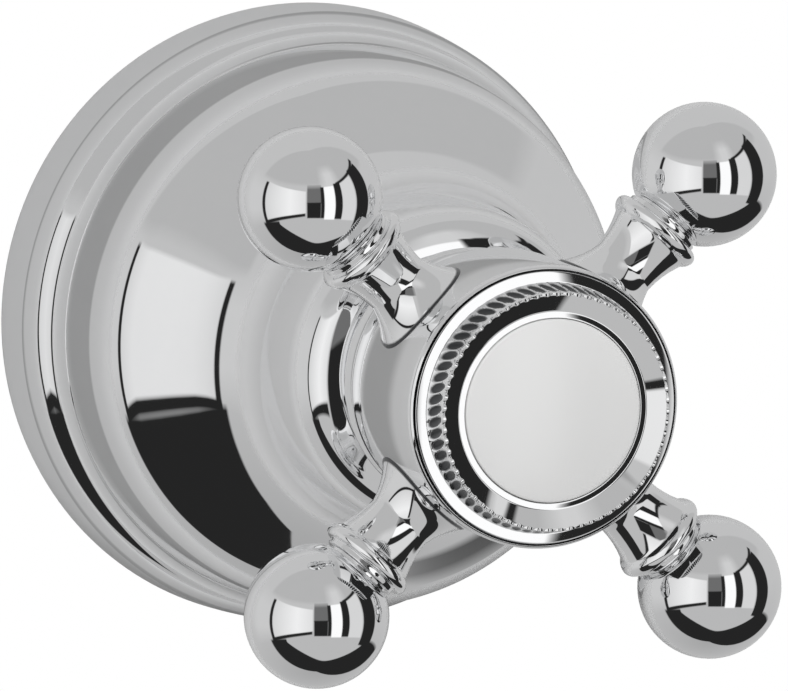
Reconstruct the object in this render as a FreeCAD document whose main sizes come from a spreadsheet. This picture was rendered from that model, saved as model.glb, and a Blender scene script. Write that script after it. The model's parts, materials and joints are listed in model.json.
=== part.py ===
import FreeCAD, Part
import os
import re
import Sketcher

# A two-way concealed diverter valve with a cross handle.
# Every piece is drawn in the front view of the installed valve: X to the right, Y up
# and Z out of the wall, with Z = 0 on the finished wall. FRONT then turns that view
# into the row's frame, where Z is up and the valve axis runs out along -Y.

SIZES = {
    # wall flange
    "flange_radius": 34.75,
    "flange_foot": 1.5,
    "flange_foot_step": 0.35,
    "flange_taper": 0.42,
    "flange_side_height": 7.4,
    "flange_side_bulge": 0.0345,
    "flange_edge_width": 1.59,
    "flange_edge_rise": 3.38,
    "flange_edge_bulge": 0.157,
    "cove_width": 1.34,
    "cove_height": 3.02,
    "cove_bulge": 0.156,
    "back_ring_width": 2.35,
    "gasket_ledge": 1.0,
    "gasket_thickness": 2.0,
    "gasket_recess": 0.2,
    "gasket_width": 2.2,
    # bell shroud
    "spigot_step": 2.1,
    "spigot_depth": 4.6,
    "drum_taper": 0.58,
    "drum_length": 6.4,
    "shoulder_width": 2.62,
    "shoulder_rise": 6.9,
    "shoulder_bulge": 0.163,
    "dome_rise": 5.45,
    "flare_width": 4.45,
    "flare_rise": 10.45,
    "flare_bulge": 0.167,
    "neck_step": 0.25,
    "neck_taper": 0.6,
    "neck_rise": 6.5,
    "mouth_step": 3.15,
    "mouth_rise": 5.35,
    "mouth_bulge": 0.273,
    "mouth_face_width": 2.5,
    "mouth_face_rise": 0.6,
    "mouth_face_bulge": 0.07,
    "mouth_thickness": 2.05,
    "mouth_slope_width": 2.05,
    "mouth_slope_drop": 2.5,
    "mouth_clearance": 0.6,
    "shell_thickness": 1.6,
    # handle hub
    "hub_radius": 15.2,
    "hub_gap": 1.75,
    "skirt_step": 1.1,
    "skirt_rise": 1.4,
    "skirt_edge": 0.5,
    "skirt_bulge": 0.12,
    "hub_flare_rise": 6.9,
    "hub_boss_wall": 2.2,
    "hub_boss_depth": 3.4,
    "hub_web_thickness": 4.0,
    "hub_pocket_step": 0.05,
    "hub_edge_width": 0.4,
    "hub_edge_rise": 0.6,
    "hub_edge_bulge": 0.2,
    "hub_lip_rise": 0.45,
    "bezel_seat_depth": 3.6,
    "bezel_seat_wall": 2.6,
    # handle arms and ball ends
    "arm_rise": 5.5,
    "arm_angle": 45.9,
    "arm_web_offset": 1.6,
    "foot_flare": 2.25,
    "foot_height": 0.5,
    "foot_bulge": 0.22,
    "waist_length": 3.0,
    "waist_radius": 3.65,
    "trumpet_length": 4.3,
    "trumpet_flare": 0.95,
    "trumpet_bulge": 0.1,
    "collar_width": 1.1,
    "collar_flare": 1.65,
    "collar_edge": 0.6,
    "collar_edge_step": 0.4,
    "collar_bulge": 0.25,
    "arm_drum_flare": 0.65,
    "arm_drum_length": 0.65,
    "arm_groove_flare": 0.05,
    "arm_groove_width": 0.45,
    "ball_radius": 7.76,
    "ball_neck_flare": 0.8,
    "arm_spigot_step": 1.15,
    "arm_spigot_length": 4.7,
    "stud_depth": 1.2,
    "stud_wall": 2.0,
    "stud_hole_depth": 0.6,
    # bezel, rope ring and button
    "bezel_height": 1.2,
    "face_step": 0.6,
    "face_width": 1.12,
    "face_drop": 0.6,
    "face_rise": 0.14,
    "bezel_spigot_gap": 0.2,
    "bezel_spigot_depth": 3.2,
    "rope_thickness": 0.9,
    "rope_seat_depth": 0.25,
    "rope_side_rise": 0.2,
    "rope_crest_rise": 2.6,
    "rope_crest_width": 0.12,
    "dish_width": 2.15,
    "dish_rise": 2.5,
    "lip_width": 0.59,
    "lip_rise": 1.4,
    "button_gap": 0.12,
    "button_shoulder": 1.49,
    "button_seat_rise": 0.4,
    "button_edge_rise": 1.5,
    "button_crown_rise": 1.1,
    "button_stem_gap": 0.15,
    "button_stem_depth": 3.6,
    "button_groove_depth": 2.8,
    "button_ring_cord": 0.5,
    "button_screw_gap": 1.2,
    # handle screw and spline
    "screw_radius": 2.5,
    "screw_head_radius": 4.3,
    "screw_head_height": 3.4,
    "screw_thread_length": 6.6,
    "screw_socket_radius": 2.3,
    "screw_socket_depth": 2.2,
    "washer_radius": 5.0,
    "washer_thickness": 0.9,
    "insert_wall": 1.8,
    "insert_setback": 1.0,
    "spline_step": 0.6,
    "spline_tip_gap": 0.8,
    "spline_run_out": 1.6,
    "spline_depth": 0.4,
    "spline_width": 0.7,
    "spline_teeth": 20,
    # spindle extension and the pieces that carry it
    "extension_wall": 1.2,
    "extension_gap": 1.9,
    "extension_socket_depth": 8.2,
    "extension_socket_gap": 0.6,
    "grub_setback": 4.4,
    "grub_radius": 1.5,
    "grub_recess": 0.2,
    "sleeve_wall": 1.1,
    "sleeve_bore_step": 0.9,
    "sleeve_setback": 2.2,
    "sleeve_top_gap": 2.4,
    "sleeve_thread_depth": 7.0,
    "sleeve_lip": 1.2,
    "carrier_ring_rise": 1.0,
    "carrier_ring_cord": 0.5,
    "bush_length": 6.0,
    # spindle
    "spindle_radius": 4.0,
    "spindle_flange_gap": 1.1,
    "spindle_flange_thickness": 1.6,
    "tang_width": 3.0,
    "tang_depth": 2.6,
    "spindle_ring_cord": 0.6,
    "spindle_ring_setback": 3.4,
    "spindle_ring_pitch": 4.0,
    "circlip_gap": 0.3,
    "circlip_thickness": 0.8,
    "circlip_width": 1.4,
    "circlip_groove": 0.5,
    "stop_pin_rise": 1.6,
    "stop_pin_radius": 1.0,
    "stop_pin_length": 2.8,
    # bonnet
    "bonnet_gap": 0.2,
    "bonnet_depth": 7.4,
    "bonnet_flange_width": 2.1,
    "bonnet_flange_thickness": 3.4,
    "crown_clearance": 0.4,
    "crown_wall": 1.8,
    "crown_length": 4.6,
    "bonnet_ring_setback": 2.4,
    "bonnet_ring_cord": 0.7,
    # rotor, cartridge sleeve and seals
    "rotor_length": 22.6,
    "rotor_gap": 0.1,
    "rotor_way_radius": 3.2,
    "cartridge_gap": 0.1,
    "cartridge_wall": 2.9,
    "cartridge_floor": 2.2,
    "way_step": 0.2,
    "cartridge_ring_cord": 0.7,
    "cartridge_ring_setback": 1.8,
    "seal_width": 1.4,
    "seal_groove_depth": 1.8,
    "thrust_thickness": 0.6,
    "thrust_step": 0.7,
    # valve body
    "body_bore_radius": 10.5,
    "body_wall": 3.7,
    "body_floor": 3.4,
    "body_front": 2.4,
    "body_neck_length": 8.0,
    "body_neck_step": 0.7,
    "port_length": 8.8,
    "port_wall": 3.05,
    "port_bore_radius": 9.35,
    "port_floor": 2.0,
    "port_way_step": 0.6,
    # fits
    "fit_gap": 0.05,
    "running_gap": 0.06,
    "axial_gap": 0.3,
}

# Radii and heights that follow from those sizes, so that a changed size carries its neighbours.
FOLLOWS = {
    # flange and bell, from the wall outwards
    "flange_side_radius": "flange_radius - flange_taper",
    "flange_edge_radius": "flange_side_radius - flange_edge_width",
    "flange_edge_height": "flange_side_height + flange_edge_rise",
    "seam_height": "flange_edge_height + cove_height",
    "drum_radius": "flange_edge_radius - cove_width",
    "flange_bore_radius": "flange_radius - back_ring_width",
    "spigot_radius": "drum_radius - spigot_step",
    "drum_top": "seam_height + drum_length",
    "drum_top_radius": "drum_radius - drum_taper",
    "shoulder_radius": "drum_top_radius - shoulder_width",
    "shoulder_height": "drum_top + shoulder_rise",
    "dome_height": "shoulder_height + dome_rise",
    "neck_height": "dome_height + flare_rise",
    "neck_top_height": "neck_height + neck_rise",
    "mouth_height": "neck_top_height + mouth_rise",
    "mouth_face_height": "mouth_height + mouth_face_rise",
    "mouth_ceiling": "mouth_face_height - mouth_thickness",
    # valve body and cartridge, from the bore outwards
    "body_radius": "body_bore_radius + body_wall",
    "body_neck_radius": "body_radius + body_neck_step",
    "body_neck_base": "body_front - body_neck_length",
    "bonnet_base": "body_front - bonnet_depth",
    "bonnet_radius": "body_bore_radius - bonnet_gap",
    "bonnet_flange_base": "body_front + bonnet_gap",
    "bonnet_flange_radius": "body_bore_radius + bonnet_flange_width",
    "bonnet_flange_top": "bonnet_flange_base + bonnet_flange_thickness",
    "bonnet_ring_height": "bonnet_base + bonnet_ring_setback",
    "crown_top": "bonnet_flange_top + crown_length",
    "stop_pin_reach": "spindle_radius + stop_pin_length",
    "stop_pin_height": "bonnet_flange_top + stop_pin_rise",
    "crown_bore_radius": "stop_pin_reach + crown_clearance",
    "crown_radius": "crown_bore_radius + crown_wall",
    "cartridge_radius": "body_bore_radius - cartridge_gap",
    "rotor_radius": "cartridge_radius - cartridge_wall",
    "spindle_flange_radius": "rotor_radius - spindle_flange_gap",
    "spindle_flange_base": "bonnet_base - axial_gap - spindle_flange_thickness",
    "rotor_top": "spindle_flange_base - rotor_gap",
    "rotor_base": "rotor_top - rotor_length",
    "port_depth": "-(rotor_base + rotor_length / 2)",
    "cartridge_top": "bonnet_base - bonnet_gap",
    "cartridge_base": "rotor_base - thrust_thickness - 2 * rotor_gap - cartridge_floor",
    "cartridge_ring_lower": "rotor_base + cartridge_ring_setback",
    "cartridge_ring_upper": "rotor_top - cartridge_ring_setback",
    "cartridge_way_radius": "rotor_way_radius + way_step",
    "seal_outer_radius": "cartridge_way_radius + seal_width",
    "thrust_radius": "rotor_radius - thrust_step",
    "body_back": "cartridge_base - body_floor",
    "port_reach": "body_radius + port_length",
    "port_boss_radius": "port_bore_radius + port_wall",
    "port_bore_length": "port_reach - body_bore_radius - port_floor",
    "port_way_radius": "cartridge_way_radius + port_way_step",
    "spindle_ring_lower": "bonnet_base + spindle_ring_setback",
    "spindle_ring_upper": "spindle_ring_lower + spindle_ring_pitch",
    "circlip_height": "crown_top + circlip_gap",
    "circlip_radius": "spindle_radius + circlip_width",
    "extension_base": "circlip_height + circlip_thickness + extension_gap",
    "extension_radius": "spindle_radius + extension_wall",
    "spindle_tip": "extension_base + extension_socket_depth",
    "extension_socket_top": "spindle_tip + extension_socket_gap",
    "grub_height": "extension_base + grub_setback",
    "grub_end": "extension_radius - grub_recess",
    # sleeve and neck, from the valve body outwards
    "sleeve_radius": "body_neck_radius + sleeve_wall",
    "sleeve_bore_radius": "body_neck_radius - sleeve_bore_step",
    "sleeve_base": "body_neck_base + sleeve_setback",
    "sleeve_top": "mouth_ceiling - sleeve_top_gap",
    "carrier_ring_height": "neck_height + carrier_ring_rise",
    "neck_top_radius": "sleeve_radius + shell_thickness + neck_step",
    "neck_radius": "neck_top_radius + neck_taper",
    "dome_radius": "neck_radius + flare_width",
    "mouth_radius": "neck_top_radius - mouth_step",
    "mouth_face_radius": "mouth_radius - mouth_face_width",
    # handle, from the mouth of the bell outwards
    "hub_rear_height": "mouth_face_height + hub_gap",
    "skirt_radius": "hub_radius - skirt_step",
    "skirt_height": "hub_rear_height + skirt_rise",
    "hub_body_height": "skirt_height + hub_flare_rise",
    "arm_height": "hub_body_height + arm_rise",
    "hub_web_height": "arm_height - arm_web_offset",
    "spline_radius": "spindle_radius + spline_step",
    "spline_tip": "hub_web_height - spline_tip_gap",
    "insert_radius": "spline_radius + insert_wall",
    "insert_base": "hub_rear_height + insert_setback",
    "spline_base": "insert_base - spline_run_out",
    "screw_end": "spline_base - screw_thread_length",
    "screw_head_base": "hub_web_height + hub_web_thickness + washer_thickness + 2 * fit_gap",
    "hub_boss_radius": "insert_radius + hub_boss_wall",
    "mouth_bore_radius": "hub_boss_radius + mouth_clearance",
    "button_seat_height": (
        "screw_head_base + screw_head_height + button_screw_gap + button_stem_depth"
    ),
    "face_height": "button_seat_height - button_seat_rise",
    "hub_front_height": "face_height - bezel_height",
    "hub_lip_height": "hub_front_height + hub_lip_rise",
    "hub_lip_radius": "hub_radius - hub_edge_width",
    "bezel_seat_radius": "hub_radius - bezel_seat_wall",
    "bezel_spigot_radius": "bezel_seat_radius - bezel_spigot_gap",
    "face_radius": "hub_radius - face_step",
    "face_edge_height": "face_height - face_drop",
    "rope_outer_radius": "face_radius - face_width",
    "rope_inner_radius": "rope_outer_radius - rope_thickness",
    "rope_seat_height": "face_edge_height - rope_seat_depth",
    "rope_side_height": "face_edge_height + rope_side_rise",
    "rope_crest_height": "face_height + rope_crest_rise",
    "dish_height": "face_height + dish_rise",
    "lip_radius": "rope_inner_radius - dish_width",
    "lip_height": "face_height + lip_rise",
    "button_radius": "lip_radius - lip_width",
    "button_edge_height": "button_seat_height + button_edge_rise",
    "button_crown_height": "button_edge_height + button_crown_rise",
    "bezel_bore_radius": "button_radius - button_shoulder",
    "button_stem_radius": "bezel_bore_radius - button_stem_gap",
    "button_groove_height": "button_seat_height - button_groove_depth",
    "hub_pocket_radius": "bezel_bore_radius + hub_pocket_step",
    # arms, from the hub outwards
    "foot_radius": "waist_radius + foot_flare",
    "waist_reach": "hub_radius + waist_length",
    "trumpet_reach": "waist_reach + trumpet_length",
    "trumpet_radius": "waist_radius + trumpet_flare",
    "collar_reach": "trumpet_reach + collar_width",
    "collar_radius": "waist_radius + collar_flare",
    "collar_end": "collar_reach + collar_edge",
    "collar_end_radius": "collar_radius - collar_edge_step",
    "arm_drum_radius": "waist_radius + arm_drum_flare",
    "arm_drum_end": "collar_end + arm_drum_length",
    "arm_groove_radius": "waist_radius + arm_groove_flare",
    "ball_start": "arm_drum_end + arm_groove_width",
    "ball_neck_radius": "waist_radius + ball_neck_flare",
    "ball_reach": "ball_start + sqrt(ball_radius ^ 2 - ball_neck_radius ^ 2)",
    "arm_spigot_radius": "waist_radius - arm_spigot_step",
    "arm_spigot_end": "ball_start + arm_spigot_length",
    "stud_radius": "waist_radius - arm_spigot_step",
    "stud_start": "hub_pocket_radius + stud_wall",
    "stud_end": "waist_reach + stud_depth",
}

ARM_NAMES = ("right_upper", "left_upper", "left_lower", "right_lower")
FRONT = FreeCAD.Placement(
    FreeCAD.Vector(0, 0, 0), FreeCAD.Rotation(FreeCAD.Vector(1, 0, 0), 90)
)

doc = FreeCAD.newDocument("concealed_diverter")
sheet = doc.addObject("Spreadsheet::Sheet", "Sizes")
cells = {alias: str(size) for alias, size in SIZES.items()}
cells.update({alias: f"={formula}" for alias, formula in FOLLOWS.items()})
for row, alias in enumerate(cells, start=1):
    sheet.set(f"A{row}", alias)
    sheet.setAlias(f"B{row}", alias)
for row, content in enumerate(cells.values(), start=1):
    sheet.set(f"B{row}", content)
doc.recompute()


def bound(text):
    """Point every size named in a formula at its cell."""
    return re.sub(
        r"[a-z_]+",
        lambda word: f"Sizes.{word[0]}" if word[0] in cells else word[0],
        text,
    )


def value(text):
    """Work a formula out with the sizes in the sheet."""
    return float(sheet.evalExpression(bound(text)))


def point(x, y):
    return FreeCAD.Vector(value(x), value(y), 0)


def turned_round(angle):
    """The front view, turned about the valve axis."""
    turn = FreeCAD.Rotation(FreeCAD.Vector(0, 0, 1), angle)
    return FRONT.multiply(FreeCAD.Placement(FreeCAD.Vector(0, 0, 0), turn))


def new_body(label, placement=FRONT):
    body = doc.addObject("PartDesign::Body", label)
    body.Label = label
    body.Placement = placement
    return body


def new_sketch(body, plane, along="0", above="0"):
    """Open a sketch on one of the body's planes, moved along its normal or its Y."""
    sketch = body.newObject("Sketcher::SketchObject", f"{body.Name}_sketch")
    role = next(o for o in body.Origin.OriginFeatures if o.Role == plane)
    sketch.AttachmentSupport = (role, [""])
    sketch.MapMode = "FlatFace"
    sketch.setExpression("AttachmentOffset.Base.z", bound(along))
    sketch.setExpression("AttachmentOffset.Base.y", bound(above))
    return sketch


def bind(sketch, constraint, text):
    index = sketch.addConstraint(constraint)
    sketch.setExpression(f"Constraints[{index}]", bound(text))


def hold_vertex(sketch, edge, end, x, y):
    """Tie one end of an edge to its two coordinates."""
    for kind, axis, text in (("DistanceX", -2, x), ("DistanceY", -1, y)):
        if text == "0":
            sketch.addConstraint(Sketcher.Constraint("PointOnObject", edge, end, axis))
        else:
            held = Sketcher.Constraint(kind, -1, 1, edge, end, value(text))
            bind(sketch, held, text)


def draw(sketch, outline):
    """Draw a closed outline of (x, y, bulge); a bulge bends the edge that follows."""
    edges = []
    for index, (x, y, bulge) in enumerate(outline):
        far_x, far_y, _ = outline[(index + 1) % len(outline)]
        near, far = point(x, y), point(far_x, far_y)
        if bulge is None:
            edges.append((sketch.addGeometry(Part.LineSegment(near, far)), 1, 2))
            continue
        chord = far - near
        side = FreeCAD.Vector(chord.y, -chord.x, 0)
        middle = (near + far) * 0.5 + side * (value(bulge) / 2)
        edge = sketch.addGeometry(Part.Arc(near, middle, far))
        forward = (sketch.getPoint(edge, 1) - near).Length < chord.Length / 2
        edges.append((edge, 1, 2) if forward else (edge, 2, 1))
        span = f"sqrt(({far_x} - ({x}))^2 + ({far_y} - ({y}))^2)"
        bend = f"{span} * (1 + ({bulge})^2) / (4 * abs({bulge}))"
        bind(sketch, Sketcher.Constraint("Radius", edge, value(bend)), bend)
    for index, (x, y, _) in enumerate(outline):
        edge, start, _ = edges[index]
        before, _, end = edges[index - 1]
        sketch.addConstraint(Sketcher.Constraint("Coincident", before, end, edge, start))
        hold_vertex(sketch, edge, start, x, y)
    return sketch


def draw_circle(sketch, radius, x="0", y="0"):
    circle = Part.Circle(point(x, y), FreeCAD.Vector(0, 0, 1), value(radius))
    edge = sketch.addGeometry(circle)
    bind(sketch, Sketcher.Constraint("Radius", edge, value(radius)), radius)
    hold_vertex(sketch, edge, 3, x, y)
    return sketch


def feature(body, kind, sketch, **settings):
    """Add a sketched feature and make it the body's tip."""
    made = body.newObject(f"PartDesign::{kind}", f"{body.Name}_{kind.lower()}")
    made.Profile = sketch
    for name, setting in settings.items():
        setattr(made, name, setting)
    body.Tip = made
    return made


def spin(body, sketch, axis="V_Axis", kind="Revolution"):
    return feature(body, kind, sketch, ReferenceAxis=(sketch, [axis]), Angle=360)


def turned(label, outline, placement=FRONT):
    """A piece turned about the valve axis from its half section."""
    body = new_body(label, placement)
    spin(body, draw(new_sketch(body, "XZ_Plane"), outline))
    return body


def box(left, right, low, high):
    return [(left, low, None), (right, low, None), (right, high, None), (left, high, None)]


def tube(label, inner, outer, low, high):
    return turned(label, box(inner, outer, low, high))


def cut_through(body, sketch):
    return feature(body, "Pocket", sketch, Type="ThroughAll", Midplane=True)


def ring(label, radius, cord, height):
    """A rubber ring round the valve axis."""
    body = new_body(label)
    sketch = new_sketch(body, "XZ_Plane")
    spin(body, draw_circle(sketch, cord, radius, height))
    return body


def ring_set(label, radius, cord, heights):
    """Equal rubber rings on one seat, kept as one piece."""
    rings = []
    for number, height in enumerate(heights, start=1):
        torus = doc.addObject("Part::Torus", f"{label}_{number}")
        torus.setExpression("Radius1", bound(radius))
        torus.setExpression("Radius2", bound(cord))
        torus.setExpression("Placement.Base.z", bound(height))
        rings.append(torus)
    return grouped(label, rings)


def grouped(label, members):
    group = doc.addObject("Part::Compound", label)
    group.Label = label
    group.Links = members
    group.Placement = FRONT
    return group


pieces = []

# Wall flange and its gasket.
seam = "seam_height"
spigot_seat = "spigot_radius + fit_gap"
gasket_top = "gasket_recess + gasket_thickness"
inner_wall = "flange_bore_radius - gasket_ledge"
pieces.append(turned("wall_flange", [
    ("flange_radius - flange_foot_step", "0", None),
    ("flange_radius", "flange_foot", "flange_side_bulge"),
    ("flange_side_radius", "flange_side_height", "flange_edge_bulge"),
    ("flange_edge_radius", "flange_edge_height", "-cove_bulge"),
    ("drum_radius", seam, None),
    (spigot_seat, seam, None),
    (spigot_seat, f"{seam} - spigot_depth", None),
    (inner_wall, f"{seam} - spigot_depth", None),
    (inner_wall, gasket_top, None),
    ("flange_bore_radius", gasket_top, None),
    ("flange_bore_radius", "0", None),
]))
pieces.append(tube(
    "flange_gasket",
    "flange_bore_radius - fit_gap - gasket_width",
    "flange_bore_radius - fit_gap",
    "gasket_recess",
    f"{gasket_top} - fit_gap",
))

# Bell shroud, with a spigot that drops into the flange.
bell_base = f"{seam} - spigot_depth + axial_gap"
neck_bore = "sleeve_radius + fit_gap"
pieces.append(turned("bell_shroud", [
    ("spigot_radius", bell_base, None),
    ("spigot_radius", f"{seam} + fit_gap", None),
    ("drum_radius", f"{seam} + fit_gap", None),
    ("drum_top_radius", "drum_top", "shoulder_bulge"),
    ("shoulder_radius", "shoulder_height", None),
    ("dome_radius", "dome_height", "-flare_bulge"),
    ("neck_radius", "neck_height", None),
    ("neck_top_radius", "neck_top_height", "mouth_bulge"),
    ("mouth_radius", "mouth_height", "mouth_face_bulge"),
    ("mouth_face_radius", "mouth_face_height", None),
    ("mouth_bore_radius", "mouth_face_height", None),
    ("mouth_bore_radius", "mouth_ceiling", None),
    (f"{neck_bore} - mouth_slope_width", "mouth_ceiling", None),
    (neck_bore, "mouth_ceiling - mouth_slope_drop", None),
    (neck_bore, "neck_height - shell_thickness", "flare_bulge"),
    ("dome_radius - shell_thickness", "dome_height - shell_thickness", None),
    ("shoulder_radius - shell_thickness", "shoulder_height - shell_thickness", None),
    ("spigot_radius - shell_thickness", "drum_top - shell_thickness", None),
    ("spigot_radius - shell_thickness", bell_base, None),
]))

# Handle hub, open at the front for the screw and at the back for the spline.
hub = turned("handle_hub", [
    ("hub_boss_radius", "hub_rear_height - hub_boss_depth", None),
    ("hub_boss_radius", "hub_rear_height", None),
    ("skirt_radius - skirt_edge", "hub_rear_height", None),
    ("skirt_radius", "hub_rear_height + skirt_edge", None),
    ("skirt_radius", "skirt_height", "-skirt_bulge"),
    ("hub_radius", "hub_body_height", None),
    ("hub_radius", "hub_lip_height - hub_edge_rise", "hub_edge_bulge"),
    ("hub_lip_radius", "hub_lip_height", None),
    ("hub_lip_radius", "hub_front_height", None),
    ("bezel_seat_radius", "hub_front_height", None),
    ("bezel_seat_radius", "hub_front_height - bezel_seat_depth", None),
    ("hub_pocket_radius", "hub_front_height - bezel_seat_depth", None),
    ("hub_pocket_radius", "hub_web_height + hub_web_thickness", None),
    ("screw_radius + fit_gap", "hub_web_height + hub_web_thickness", None),
    ("screw_radius + fit_gap", "hub_web_height", None),
    ("insert_radius + fit_gap", "hub_web_height", None),
    ("insert_radius + fit_gap", "hub_rear_height - hub_boss_depth", None),
], turned_round(value("arm_angle")))
for plane in ("XZ_Plane", "YZ_Plane"):
    for start, end in (("stud_start", "hub_radius + 1"), ("-hub_radius - 1", "-stud_start")):
        sketch = new_sketch(hub, plane, above="arm_height")
        spin(hub, draw(sketch, box(start, end, "0", "stud_radius + fit_gap")), "H_Axis", "Groove")
pieces.append(hub)

# Arms, studs and ball ends, drawn along X and then turned round the hub.
studs = []
for quarter, name in enumerate(ARM_NAMES):
    angle = value("arm_angle") + 90 * quarter
    turn = FreeCAD.Rotation(FreeCAD.Vector(0, 0, 1), angle)
    seat = turned_round(angle)
    arm = new_body(f"arm_{name}", seat)
    spin(arm, draw(new_sketch(arm, "XZ_Plane"), [
        ("stud_start", "stud_radius + fit_gap", None),
        ("stud_end + stud_hole_depth", "stud_radius + fit_gap", None),
        ("stud_end + stud_hole_depth", "0", None),
        ("arm_spigot_end", "0", None),
        ("arm_spigot_end", "arm_spigot_radius", None),
        ("ball_start", "arm_spigot_radius", None),
        ("ball_start", "arm_groove_radius", None),
        ("arm_drum_end", "arm_groove_radius", None),
        ("arm_drum_end", "arm_drum_radius", None),
        ("collar_end", "arm_drum_radius", None),
        ("collar_end", "collar_end_radius", "collar_bulge"),
        ("collar_reach", "collar_radius", "collar_bulge"),
        ("trumpet_reach", "trumpet_radius", "-trumpet_bulge"),
        ("waist_reach", "waist_radius", "-foot_bulge"),
        ("hub_radius + foot_height", "foot_radius", None),
        ("stud_start", "foot_radius", None),
    ]), "H_Axis")
    cut_through(arm, draw_circle(new_sketch(arm, "XY_Plane"), "hub_radius + fit_gap"))
    arm.setExpression("Placement.Base.y", bound("-arm_height"))
    pieces.append(arm)
    ball = new_body(f"ball_{name}", seat)
    ball_flat = "sqrt(ball_radius^2 - (ball_reach - ball_start - fit_gap)^2)"
    half_turn = f"((ball_radius - ball_reach + ball_start + fit_gap) / {ball_flat})"
    quarter_turn = f"((sqrt(1 + {half_turn}^2) - 1) / {half_turn})"
    spin(ball, draw(new_sketch(ball, "XZ_Plane"), [
        ("ball_start + fit_gap", "arm_spigot_radius + fit_gap", None),
        ("arm_spigot_end + axial_gap", "arm_spigot_radius + fit_gap", None),
        ("arm_spigot_end + axial_gap", "0", None),
        ("ball_reach + ball_radius", "0", f"(1 - {quarter_turn}) / (1 + {quarter_turn})"),
        ("ball_start + fit_gap", ball_flat, None),
    ]), "H_Axis")
    ball.setExpression("Placement.Base.y", bound("-arm_height"))
    pieces.append(ball)
    stud = doc.addObject("Part::Cylinder", f"stud_{name}")
    stud.setExpression("Radius", bound("stud_radius"))
    stud.setExpression("Height", bound("stud_end - stud_start - fit_gap"))
    upright = FreeCAD.Rotation(FreeCAD.Vector(0, 1, 0), 90)
    stud.Placement = FreeCAD.Placement(
        turn.multVec(point("stud_start + fit_gap", "0")), turn.multiply(upright)
    )
    stud.setExpression("Placement.Base.z", bound("arm_height"))
    studs.append(stud)
pieces.append(grouped("arm_studs", studs))

# Bezel, rope ring and porcelain button with its rubber ring.
button_bore = "button_radius + button_gap"
button_seat = "button_seat_height - axial_gap"
rope_wall = "rope_outer_radius + fit_gap"
pieces.append(turned("bezel_ring", [
    ("bezel_spigot_radius", "hub_front_height - bezel_spigot_depth", None),
    ("bezel_spigot_radius", "hub_front_height + fit_gap", None),
    ("face_radius", "hub_front_height + fit_gap", None),
    ("face_radius", "face_edge_height", None),
    (rope_wall, "face_edge_height + face_rise", None),
    (rope_wall, "rope_seat_height", None),
    ("rope_inner_radius", "rope_seat_height", None),
    ("rope_inner_radius", "dish_height", None),
    ("lip_radius", "lip_height", None),
    (button_bore, "lip_height", None),
    (button_bore, button_seat, None),
    ("bezel_bore_radius", button_seat, None),
    ("bezel_bore_radius", "hub_front_height - bezel_spigot_depth", None),
]))
rope_bore = "rope_inner_radius + fit_gap"
pieces.append(turned("rope_ring", [
    (rope_bore, "rope_seat_height + fit_gap", None),
    ("rope_outer_radius", "rope_seat_height + fit_gap", None),
    ("rope_outer_radius", "rope_side_height", None),
    (f"{rope_bore} + rope_crest_width", "rope_crest_height", None),
    (rope_bore, "rope_crest_height", None),
]))
groove_floor = "button_stem_radius - 2 * button_ring_cord"
groove_low = "button_groove_height - button_ring_cord - fit_gap"
groove_high = "button_groove_height + button_ring_cord + fit_gap"
crown_rise = "((button_crown_height - button_edge_height) / button_radius)"
crown_bulge = f"(sqrt(1 + {crown_rise}^2) - 1) / {crown_rise}"
pieces.append(turned("porcelain_button", [
    ("0", "button_seat_height - button_stem_depth", None),
    ("button_stem_radius", "button_seat_height - button_stem_depth", None),
    ("button_stem_radius", groove_low, None),
    (groove_floor, groove_low, None),
    (groove_floor, groove_high, None),
    ("button_stem_radius", groove_high, None),
    ("button_stem_radius", "button_seat_height", None),
    ("button_radius", "button_seat_height", None),
    ("button_radius", "button_edge_height", crown_bulge),
    ("0", "button_crown_height", None),
]))
pieces.append(ring(
    "button_ring",
    "button_stem_radius - button_ring_cord",
    "button_ring_cord - fit_gap / 2",
    "button_groove_height",
))

# Handle screw with its spring washer, and the splined insert in the hub.
web_top = "hub_web_height + hub_web_thickness"
head_base = "screw_head_base"
screw = turned("handle_screw", [
    ("0", "screw_end", None),
    ("screw_radius", "screw_end", None),
    ("screw_radius", head_base, None),
    ("screw_head_radius", head_base, None),
    ("screw_head_radius", f"{head_base} + screw_head_height", None),
    ("0", f"{head_base} + screw_head_height", None),
])
doc.recompute()
flat = "screw_socket_radius * sqrt(3) / 2"
socket = new_sketch(screw, "XY_Plane", along=f"{head_base} + screw_head_height")
draw(socket, [
    ("screw_socket_radius", "0", None),
    ("screw_socket_radius / 2", flat, None),
    ("-screw_socket_radius / 2", flat, None),
    ("-screw_socket_radius", "0", None),
    ("-screw_socket_radius / 2", f"-{flat}", None),
    ("screw_socket_radius / 2", f"-{flat}", None),
])
feature(screw, "Pocket", socket).setExpression("Length", bound("screw_socket_depth"))
pieces.append(screw)
pieces.append(tube(
    "screw_washer",
    "screw_radius + fit_gap",
    "washer_radius",
    f"{web_top} + fit_gap",
    f"{web_top} + fit_gap + washer_thickness",
))
pieces.append(tube(
    "spline_insert",
    "spline_radius + fit_gap",
    "insert_radius",
    "insert_base",
    "hub_web_height - fit_gap",
))

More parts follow.
